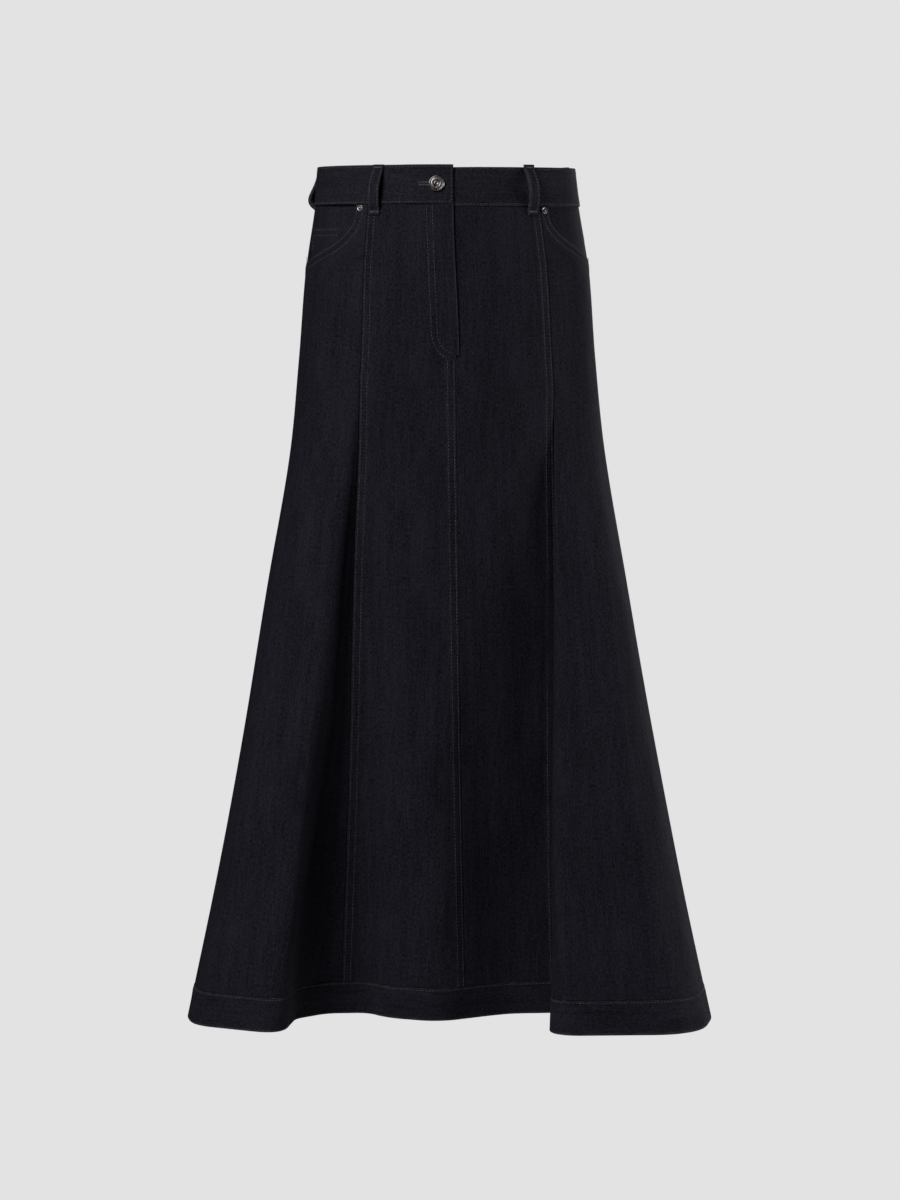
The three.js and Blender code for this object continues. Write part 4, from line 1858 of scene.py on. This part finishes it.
class Sewing:
    """Rows of stitches gathered in one piece."""

    def __init__(self, name: str, thread: Thread) -> None:
        """Starts an empty piece.

        Args:
            name: the piece's name.
            thread: the size of its stitches.
        """
        self.name = name
        self.thread = thread
        self.made = bmesh.new()
        self.stitch = bpy.data.meshes.new(name + "_stitch")
        one = bmesh.new()
        bmesh.ops.create_uvsphere(one, u_segments=6, v_segments=5, radius=0.5)
        bmesh.ops.rotate(one, verts=one.verts, matrix=Matrix.Rotation(math.pi / 2, 3, "Y"))
        for face in one.faces:
            face.smooth = True
        one.to_mesh(self.stitch)
        one.free()

    def add(self, middle: Vector, along: Vector, out: Vector, length: float | None = None) -> None:
        """Adds one stitch.

        Args:
            middle: its middle.
            along: the way it runs.
            out: the way out of the cloth.
            length: its length, or the thread's own.
        """
        x = along.normalized()
        z = (out - x * out.dot(x)).normalized()
        y = z.cross(x)
        t = self.thread
        size = Matrix.Diagonal(((length or t.length) * MM, t.width * MM, t.height * MM, 1.0))
        turn = Matrix((x, y, z)).transposed().to_4x4()
        place = Matrix.Translation(middle) @ turn @ size
        self.stitch.transform(place)
        self.made.from_mesh(self.stitch)
        self.stitch.transform(place.inverted())

    def row(self, trail: Trail, start: float = 0.0, end: float = 0.0) -> None:
        """Sews along a trail.

        Args:
            trail: points on the cloth with the way out at each.
            start: what is left bare at the start.
            end: what is left bare at the end.
        """
        runs = [0.0]
        for (a, _), (b, _) in zip(trail, trail[1:]):
            runs.append(runs[-1] + (b - a).length / MM)

        def at(distance: float) -> tuple[Vector, Vector]:
            """The trail's point and way out at a distance.

            Args:
                distance: how far along the trail.

            Returns:
                The point, and the way out.
            """
            i = min(max(bisect.bisect_right(runs, distance), 1), len(runs) - 1)
            t = (distance - runs[i - 1]) / max(runs[i] - runs[i - 1], 1e-9)
            return trail[i - 1][0].lerp(trail[i][0], t), trail[i - 1][1].lerp(trail[i][1], t)

        room = runs[-1] - start - end
        count = max(1, round(room / self.thread.pitch))
        pitch = room / count
        for i in range(count):
            middle = start + (i + 0.5) * pitch
            (a, _), (b, _) = at(middle - self.thread.length / 2), at(middle + self.thread.length / 2)
            centre, out = at(middle)
            self.add((a + b) * 0.25 + centre * 0.5, b - a, out)

    def bartack(
        self, centre: Vector, along: Vector, out: Vector, length: float, width: float, count: int
    ) -> None:
        """Sews a close block of stitches.

        Args:
            centre: the block's middle.
            along: the way the block runs.
            out: the way out of the cloth.
            length: the block's length.
            width: the length of each crosswise stitch.
            count: how many stitches it has.
        """
        x = along.normalized()
        cross = out.cross(x).normalized()
        for i in range(count):
            shift = x * ((i + 0.5) / count - 0.5) * length * MM
            self.add(centre + shift, cross + x * 0.25, out, width)

    def build(self, finish: bpy.types.Material) -> bpy.types.Object:
        """Makes the piece.

        Args:
            finish: its material.

        Returns:
            The piece's object.
        """
        bpy.data.meshes.remove(self.stitch)
        return to_object(self.made, self.name, finish)


def trail(stops: Iterable[tuple[float, float, float, float]]) -> Trail:
    """Points and ways out for stops on the skirt.

    Args:
        stops: the place, level, lift and half of each.

    Returns:
        The trail.
    """
    made = []
    for u, level, lift, half in stops:
        out = FORM.outward(u, level, half)
        made.append((FORM.point(u, level, half) + out * lift * MM, out))
    return made


@dataclass
class Topstitching:
    """All the rows of stitching on the skirt."""

    gores: Gores
    pockets: PocketPieces
    bands: Bands
    loops: BeltLoops
    sink: float = 0.1

    def seam_row(
        self, seam: float, side: int, distance: float, top: float, half: float, seed: float
    ) -> Trail:
        """One row beside a seam's groove.

        Args:
            seam: the seam's place.
            side: 1 if the row lies further round than the seam, or -1.
            distance: from the groove.
            top: the level at which it starts.
            half: the half of the skirt.
            seed: the seam's pucker seed.

        Returns:
            The row's trail.
        """
        stops = []
        for level in steps(top, GORE_BOTTOM + 0.5, 4.0):
            u = FORM.moved(seam, level, side * (distance + EDGE_GAP))
            lift = SEAM.relief(distance, level, seed) + self.sink
            if seam == FORM.around:
                lift += self.gores.fly_raise(u, level)
            stops.append((u, level, lift, half))
        return trail(stops)

    def gore_rows(self) -> Sewing:
        """The twin rows down the seams.

        Returns:
            The piece's sewing.
        """
        sewing = Sewing("stitches_gores", Thread())
        rows = (
            (7, 1, GORE_TOP - 1.0, 1.0, 7.0),
            (8, -1, self.gores.fly_end - 4.5, 1.0, 8.0),
            (1, -1, GORE_TOP - 1.0, -1.0, 1.0),
        )
        for seam, side, top, half, seed in rows:
            for distance in (SEAM.first, SEAM.second):
                sewing.row(self.seam_row(seam, side, distance, top, half, seed))
        return sewing

    def back_rows(self) -> Sewing:
        """The twin rows down the back seams.

        Returns:
            The piece's sewing.
        """
        sewing = Sewing("stitches_back", Thread())
        for seam, side, half in ((3, 1, -1.0), (4, -1, -1.0), (5, -1, 1.0)):
            for distance in (SEAM.first, SEAM.second):
                sewing.row(self.seam_row(seam, side, distance, GORE_TOP - 1.0, half, seam))
        return sewing

    def fly_rows(self, sewing: Sewing) -> None:
        """The two rows of the fly's curve.

        Args:
            sewing: the piece that takes the stitches.
        """
        curves = ((self.gores.fly_far, -150.0, 27.0), (self.gores.fly_near, -151.0, 20.0))
        for reach, straight_end, drop in curves:
            stops = []

            def stop(distance: float, level: float) -> tuple[float, float, float, float]:
                """A stop of the fly's row.

                Args:
                    distance: how far from the fly's edge.
                    level: the level.

                Returns:
                    The stop's place, level, lift and half.
                """
                edge = FORM.moved(FORM.around, level, self.gores.fly_lap)
                u = FORM.moved(edge, level, -distance)
                return u, level, self.gores.fly_raise(u, level) - 0.05 + self.sink, 1.0

            for level in steps(GORE_TOP - 1.0, straight_end, 4.0):
                stops.append(stop(reach, level))
            for i in range(1, 19):
                angle = i / 18 * math.pi / 2
                distance = mix(4.5, reach, math.cos(angle))
                stops.append(stop(distance, straight_end - drop * math.sin(angle)))
            sewing.row(trail(stops))

    def mouth_rows(self, sewing: Sewing) -> None:
        """The twin rows along both pocket mouths.

        Args:
            sewing: the piece that takes the stitches.
        """
        for side, half in ((Side.RIGHT, 1.0), (Side.LEFT, -1.0)):
            path = self.gores.mouth_path(side)
            for distance in (SEAM.first, SEAM.second):
                stops = []
                for (u, level), (nu, nl) in zip(path, path[1:]):
                    offset = distance * (1 if side is Side.RIGHT else -1)
                    bu, bl = FORM.beside(u, level, nu, nl, offset)
                    inside = bu > 6.0 if side is Side.RIGHT else bu < 2.0
                    if inside and bl < GORE_TOP - 0.8:
                        seed = 9.0 if side is Side.RIGHT else 5.0
                        relief = SEAM.relief(distance, bu * self.gores.mouth_run, seed)
                        stops.append((bu, bl, relief * self.gores.mouth_rise + self.sink, half))
                sewing.row(trail(stops), end=1.5)

    def coin_rows(self, sewing: Sewing) -> None:
        """The rows along the coin pocket's top and side.

        Args:
            sewing: the piece that takes the stitches.
        """

        def stop(distance: float, level: float) -> tuple[float, float, float, float]:
            """A stop at a distance from the coin pocket's side edge.

            Args:
                distance: how far from the edge.
                level: the level.

            Returns:
                The stop's place, level, lift and half.
            """
            first = FORM.place(self.pockets.coin_side, level)
            u = FORM.moved(first, level, distance + EDGE_GAP)
            inner = self.pockets.edge(Side.RIGHT, level)
            share = min(max((inner - u) / (inner - 6), 0.0), 1.0)
            seat = self.pockets.depth(Side.RIGHT, share, level) + SEAM_GAP + self.pockets.coin_cloth
            return u, level, seat - 0.15 + self.sink, 1.0

        for drop in (2.2, 7.8):
            level = self.pockets.coin_top - drop
            sewing.row(trail([stop(distance, level) for distance in steps(1.2, 42.0, 2.0)]))
        side = [stop(1.8, level) for level in steps(self.pockets.coin_top - 9, -66.0, 2.5)]
        sewing.row(trail(side))

    def pocket_piece(self) -> Sewing:
        """The stitching of the pockets and the fly.

        Returns:
            The piece's sewing.
        """
        sewing = Sewing("stitches_pockets", Thread())
        self.fly_rows(sewing)
        self.mouth_rows(sewing)
        self.coin_rows(sewing)
        return sewing

    def band_piece(self) -> Sewing:
        """The rows along the waistband.

        Returns:
            The piece's sewing.
        """
        sewing = Sewing("stitches_waistband", Thread())
        row = self.bands.row
        bottom = BAND_SEAM
        for side in Side:
            right = side is Side.RIGHT
            cloth = self.bands.waist(side)
            first, last = (4.03, FORM.moved(8, 0, self.bands.lap_over - row)) if right else (0.02, 3.97)
            for level in (BAND_TOP - row, bottom + row):
                stops = []
                for u in steps(first, last, 0.035):
                    spot = Spot(u, level, 50, 50, BAND_TOP - level, level - bottom)
                    stops.append((u, level, cloth.lift(spot) + self.sink, cloth.half(u, level)))
                sewing.row(trail(stops))
            if right:
                stops = []
                for level in steps(BAND_TOP - row, bottom + row, 3.0):
                    u = FORM.moved(8, level, self.bands.lap_over - row)
                    spot = Spot(u, level, 50, row, BAND_TOP - level, level - bottom)
                    stops.append((u, level, cloth.lift(spot) + self.sink, 1.0))
                sewing.row(trail(stops))
        return sewing

    def hem_piece(self) -> Sewing:
        """The row round the top of the hem band.

        Returns:
            The piece's sewing.
        """
        sewing = Sewing("stitches_hem", Thread())
        level = HEM_SEAM - self.bands.row
        for name, first, last in (("hem_band_front", -2, 2), ("hem_band_back", 2, 6)):
            cloth = self.bands.hem(name, first, last)
            row = cloth.across(level)
            points = [FORM.point(u, level) for u in row]
            lengths = [0.0]
            for a, b in zip(points, points[1:]):
                lengths.append(lengths[-1] + (b - a).length / MM)
            total = lengths[-1]
            stops = []
            for u, length in zip(row, lengths):
                spot = Spot(u, level, length, total - length, self.bands.row, level - HEM)
                stops.append((u, level, cloth.lift(spot) + self.sink, 0.0))
            sewing.row(trail(stops), start=1.0, end=1.0)
        return sewing

    def loop_piece(self) -> Sewing:
        """The rows and bartacks of the belt loops.

        Returns:
            The piece's sewing.
        """
        sewing = Sewing("stitches_loops", Thread(width=0.7, height=0.55))
        for loop in self.loops.loops:
            for offset in (-3.7, 3.7):
                stops = []
                for level in steps(self.loops.top - 1.5, self.loops.bottom + 1.5, 2.0):
                    u = FORM.moved(self.loops.middle(loop, level), level, offset)
                    stops.append((u, level, self.loops.seat(loop, level) - 0.25 + self.sink, 0.0))
                sewing.row(trail(stops))
            for level in (self.loops.top - 3.0, self.loops.bottom + 3.2):
                u = self.loops.middle(loop, level)
                ((point, out),) = trail([(u, level, self.loops.seat(loop, level) - 0.1, 0.0)])
                side = FORM.point(u + 0.01, level) - FORM.point(u - 0.01, level)
                sewing.bartack(point, side, out, 8.6, 1.9, 13)
        return sewing

    def tack_piece(self) -> Sewing:
        """The rust bartack at the end of the left mouth.

        Returns:
            The piece's sewing.
        """
        sewing = Sewing("bartacks_rust", Thread(width=0.55, height=0.5))
        level = -73.0
        for u, half, lift in ((FORM.moved(2, level, -4.0), -1.0, 0.4), (FORM.moved(6, level, 4.0), 1.0, 0.4)):
            ((point, out),) = trail([(u, level - 2, lift, half)])
            sewing.bartack(point, Vector((0, 0, 1)), out, 7.0, 1.8, 12)
        return sewing

    def buttonhole_piece(self, button: "TackButton") -> Sewing:
        """The overcast edge of the buttonhole, with its bartack.

        Args:
            button: the button, with the sizes of its hole.

        Returns:
            The piece's sewing.
        """
        sewing = Sewing("stitches_buttonhole", Thread(width=0.5, height=0.6))
        u = FORM.moved(FORM.around, button.level, button.from_front)
        out = FORM.outward(u, button.level)
        side = (FORM.point(u + 0.01, button.level) - FORM.point(u - 0.01, button.level)).normalized()
        up = out.cross(side)
        lift = BAND_CLOTH / 2 + (BAND_CLOTH + SEAM_GAP) / 2
        origin = FORM.point(u, button.level) + out * (lift + 0.05) * MM
        for i in range(button.slit_stitches):
            x = -button.hole_slit + (button.hole_slit - 2.4) * (i + 0.5) / button.slit_stitches
            bend = -(x * x) / (2 * button.waist_radius)
            for way in (-1, 1):
                centre = origin + side * x * MM + up * way * 1.35 * MM + out * bend * MM
                sewing.add(centre, up, out, 1.9)
        for i in range(button.eye_stitches):
            angle = math.radians(-160 + 320 * i / (button.eye_stitches - 1))
            ray = side * math.cos(angle) + up * math.sin(angle)
            sewing.add(origin + ray * (button.hole_eye + 0.75) * MM, ray, out, 1.7)
        bend = -(button.hole_slit**2) / (2 * button.waist_radius)
        end = origin - side * (button.hole_slit + 0.5) * MM + out * (bend + 0.15) * MM
        sewing.bartack(end, up, out, 4.4, 1.8, 8)
        return sewing


# Hardware


@dataclass
class TackButton:
    """The button on the waistband, its keyhole, and the rivets of the pockets."""

    radius: float = 8.0
    height: float = 2.6
    shank: float = 2.2
    from_front: float = -13.6
    level: float = 1.5
    hole_eye: float = 3.0
    hole_slit: float = 17.0
    slit_stitches: int = 34
    eye_stitches: int = 30
    waist_radius: float = 190.0
    rivet_radius: float = 3.6
    rivet_height: float = 1.5
    rivet_level: float = -23.6
    rivet_bearing: dict[Side, float] = field(default_factory=lambda: {Side.RIGHT: 320.0, Side.LEFT: 45.6})

    @staticmethod
    def turned(name: str, profile: Sequence[tuple[float, float]], place: Matrix) -> bpy.types.Object:
        """Turns a profile about its own axis and seats it.

        Args:
            name: the piece's name.
            profile: radius and height of each point, from the axis to the axis.
            place: where its foot goes and which way it stands.

        Returns:
            The piece's object.
        """
        made = bmesh.new()
        verts = [made.verts.new((radius * MM, 0, height * MM)) for radius, height in profile]
        edges = [made.edges.new(pair) for pair in zip(verts, verts[1:])]
        bmesh.ops.spin(
            made,
            geom=[*verts, *edges],
            cent=(0, 0, 0),
            axis=(0, 0, 1),
            angle=2 * math.pi,
            steps=56,
            use_merge=True,
        )
        bmesh.ops.remove_doubles(made, verts=made.verts, dist=1e-6)
        bmesh.ops.recalc_face_normals(made, faces=made.faces)
        bmesh.ops.transform(made, matrix=place, verts=made.verts)
        for face in made.faces:
            face.smooth = True
        piece = to_object(made, name)
        piece.data.set_sharp_from_angle(angle=math.radians(40))
        return piece

    @staticmethod
    def seat(u: float, level: float, lift: float, half: float) -> Matrix:
        """Where a piece stands on the cloth, its axis along the way out.

        Args:
            u: the place round the skirt, in seams.
            level: the level.
            lift: how far it stands off the form.
            half: 1 on the right half, -1 on the left.

        Returns:
            The placing.
        """
        out = FORM.outward(u, level, half)
        across = Vector((0, 0, 1)).cross(out).normalized()
        up = out.cross(across)
        turn = Matrix((across, up, out)).transposed().to_4x4()
        return Matrix.Translation(FORM.point(u, level, half) + out * lift * MM) @ turn

    def button(self) -> bpy.types.Object:
        """The tack button with a rolled rim, a ring groove and a low dished middle.

        Returns:
            The button's object.
        """
        seat = BAND_CLOTH / 2 + (BAND_CLOTH + SEAM_GAP) / 2 + SEAM_GAP
        foot = BAND_CLOTH / 2 - (BAND_CLOTH + SEAM_GAP) / 2 + SEAM_GAP - seat
        r, h = self.radius, self.height
        rim = ((0.99, 0.35), (1, 0.55), (0.985, 0.78), (0.94, 0.94), (0.88, 1), (0.82, 0.97))
        groove = ((0.78, 0.84), (0.75, 0.76), (0.71, 0.75), (0.68, 0.8), (0.64, 0.82))
        face = ((0.46, 0.82), (0.43, 0.8), (0.4, 0.72), (0.37, 0.7), (0.34, 0.76))
        centre = ((0.3, 0.84), (0.24, 0.88), (0.15, 0.8), (0.08, 0.76), (0, 0.75))
        profile = [(0, foot), (self.shank, foot), (self.shank, 0.05), (r * 0.86, 0.0), (r * 0.95, 0.2)]
        profile += [(r * across, h * up) for across, up in (*rim, *groove, *face, *centre)]
        u = FORM.moved(FORM.around, self.level, self.from_front)
        return self.turned("button_dressed", profile, self.seat(u, self.level, seat, 0.0))

    def rivet(self, side: Side) -> bpy.types.Object:
        """A rivet with a ring and a nipple.

        Args:
            side: the wearer's side.

        Returns:
            The rivet's object.
        """
        r, h = self.rivet_radius, self.rivet_height
        shares = (
            *((0, 0), (0.96, 0), (1, 0.14), (0.98, 0.34), (0.88, 0.56), (0.76, 0.62), (0.64, 0.52)),
            *((0.56, 0.42), (0.48, 0.44), (0.42, 0.62), (0.34, 0.84), (0.2, 0.97), (0, 1)),
        )
        profile = [(r * across, h * up) for across, up in shares]
        u = FORM.place(self.rivet_bearing[side], self.rivet_level)
        half = 1.0 if side is Side.RIGHT else -1.0
        name = "rivet_dressed_right" if side is Side.RIGHT else "rivet_dressed_left"
        return self.turned(name, profile, self.seat(u, self.rivet_level, SEAM_GAP + 0.3, half))


# Studio


@dataclass(frozen=True)
class Lamp:
    """A soft square light: its place as the studio states it, its side in metres and its power in watts."""

    name: str
    bearing: float
    height: float
    size: float
    watts: float


LAMPS = (
    Lamp("key", -35, 35, 1.3, 70),
    Lamp("low key", -60, 25, 1.3, 6),
    Lamp("side", 90, 2, 1.3, 60),
    Lamp("back", 160, 30, 1.8, 60),
)


@dataclass
class Studio:
    """The camera, lights, floor and background. Distances are in metres."""

    camera_place: tuple[float, float, float] = (0.002, -3.5, -0.2171)
    camera_down_degrees: float = 3.368
    lens: float = 102.1
    background: float = 0.767
    light_reach: float = 3.2
    middle: float = -0.42
    floor_level: float = -1.45

    def camera(self) -> None:
        """Sets the camera at the photograph's angle."""
        data = bpy.data.cameras.new("camera")
        data.lens = self.lens
        data.sensor_width = 36.0
        data.clip_end = 60.0
        camera = bpy.data.objects.new("camera", data)
        camera.location = self.camera_place
        camera.rotation_euler = (math.radians(90 - self.camera_down_degrees), 0, 0)
        bpy.context.scene.collection.objects.link(camera)
        bpy.context.scene.camera = camera

    def around(self, bearing: float, height: float) -> tuple[float, float, float]:
        """A light's place.

        Args:
            bearing: degrees from the front towards the right of the picture.
            height: degrees above the middle of the skirt.

        Returns:
            The place.
        """
        level = self.light_reach * math.cos(math.radians(height))
        x, y = math.sin(math.radians(bearing)), math.cos(math.radians(bearing))
        return level * x, -level * y, self.middle + self.light_reach * math.sin(math.radians(height))

    def light(self, lamp: Lamp) -> None:
        """Adds a light that points at the middle of the skirt.

        Args:
            lamp: the light.
        """
        data = bpy.data.lights.new(lamp.name, "AREA")
        data.size = lamp.size
        data.energy = lamp.watts
        made = bpy.data.objects.new(lamp.name, data)
        place = Vector(self.around(lamp.bearing, lamp.height))
        made.location = place
        made.rotation_mode = "QUATERNION"
        made.rotation_quaternion = (Vector((0.0, 0.0, self.middle)) - place).to_track_quat("-Z", "Y")
        bpy.context.scene.collection.objects.link(made)

    def world(self) -> None:
        """A pale background that gives the cloth no light of its own."""
        world = bpy.data.worlds.new("studio")
        world.use_nodes = True
        shade = world.node_tree.nodes["Background"]
        shade.inputs["Color"].default_value = (self.background, self.background, self.background, 1.0)
        shade.inputs["Strength"].default_value = 1.0
        world.cycles_visibility.diffuse = False
        world.cycles_visibility.glossy = False
        bpy.context.scene.world = world

    def floor(self, finish: bpy.types.Material) -> bpy.types.Object:
        """A plain floor, out of the photograph's frame.

        Args:
            finish: its material.

        Returns:
            The floor's object.
        """
        made = bmesh.new()
        bmesh.ops.create_circle(made, cap_ends=True, segments=96, radius=1.5)
        bmesh.ops.translate(made, vec=(0, 0, self.floor_level), verts=made.verts)
        return to_object(made, "floor", finish)

    def build(self) -> None:
        """Sets everything up."""
        self.camera()
        self.world()
        for lamp in LAMPS:
            self.light(lamp)
        self.floor(PlainFinish("floor", (0.78, 0.78, 0.78)).make())
        settings = bpy.context.scene.view_settings
        settings.view_transform = "Standard"
        settings.look = "None"


@dataclass(frozen=True)
class Cut:
    """The flat cut of what shows of a piece of cloth, in metres, and its area where it isn't a rectangle."""

    width: float
    length: float
    area: float | None = None

    def declare(self, piece: bpy.types.Object, held: str) -> None:
        """Does nothing with the piece; no sheet is declared."""


CUTS = {
    "front_right": Cut(0.142, 0.791, 0.0903),
    "front_left": Cut(0.105, 0.788, 0.0815),
    "side_front_right": Cut(0.319, 0.861, 0.1417),
    "side_front_left": Cut(0.398, 0.852, 0.1566),
    "side_back_right": Cut(0.343, 0.806, 0.1399),
    "side_back_left": Cut(0.354, 0.806, 0.1506),
    "back_right": Cut(0.111, 0.798, 0.0795),
    "back_left": Cut(0.111, 0.798, 0.0867),
    "waistband_right": Cut(0.373, 0.0395),
    "waistband_left": Cut(0.412, 0.0395),
    "hem_band_front": Cut(1.007, 0.034),
    "hem_band_back": Cut(0.920, 0.034),
    "pocket_facing_right": Cut(0.102, 0.135, 0.0061),
    "pocket_facing_left": Cut(0.092, 0.122, 0.0052),
    "coin_pocket": Cut(0.071, 0.066, 0.0018),
    "belt_loop_front_right": Cut(0.011, 0.062),
    "belt_loop_front_left": Cut(0.011, 0.062),
    "belt_loop_side_right": Cut(0.011, 0.0645),
    "belt_loop_side_left": Cut(0.011, 0.0625),
    "belt_loop_back": Cut(0.011, 0.062),
    "fly_zip": Cut(0.019, 0.134, 0.0025),
    "fly_shield": Cut(0.044, 0.142, 0.0061),
}


def main() -> None:
    """Builds the dressed skirt."""
    logging.basicConfig(level=logging.INFO, format="%(message)s")
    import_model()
    studio = Studio()
    studio.build()
    finishes = {f.name: f.make() for f in (DENIM, BAND_DENIM_PAINTED_LIT, INSIDE_DENIM, TAPE, THREAD, TACK_THREAD, METAL)}

    gores, bands, loops = Gores(), Bands(), BeltLoops()
    pockets = PocketPieces(gores)
    cloths = [*gores.all(), *bands.all(), *(pockets.facing(side) for side in Side), pockets.coin()]
    cloths += [loops.build(loop) for loop in loops.loops] + FlyPieces().all()
    for cloth in cloths:
        node = cloth.name
        cloth.name = node + "_cloth"
        piece = cloth.build(finishes)
        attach(piece, BODY)
        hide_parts(node)
        CUTS[node].declare(piece, cloth.held)
        size = (cloth.outer_width, cloth.outer_length, cloth.outer_area)
        LOG.info("%s: %.3f by %.3f m, %.5f m2, %d faces", cloth.name, *size, len(piece.data.polygons))

    hardware = TackButton()
    for piece, node in (
        (hardware.button(), "button"),
        (hardware.rivet(Side.RIGHT), "rivet_right"),
        (hardware.rivet(Side.LEFT), "rivet_left"),
    ):
        piece.data.materials.append(finishes[METAL.name])
        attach(piece, BODY)
        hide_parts(node)
        LOG.info("%s: %d faces", piece.name, len(piece.data.polygons))

    sewing = Topstitching(gores, pockets, bands, loops)
    made = [sewing.gore_rows(), sewing.back_rows(), sewing.pocket_piece(), sewing.band_piece()]
    made += [sewing.hem_piece(), sewing.loop_piece(), sewing.buttonhole_piece(hardware)]
    for row in made:
        piece = row.build(finishes[THREAD.name])
        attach(piece, BODY)
        LOG.info("%s: %d faces", piece.name, len(piece.data.polygons))
    piece = sewing.tack_piece().build(finishes[TACK_THREAD.name])
    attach(piece, BODY)
    LOG.info("%s: %d faces", piece.name, len(piece.data.polygons))


if __name__ == "__main__":
    main()
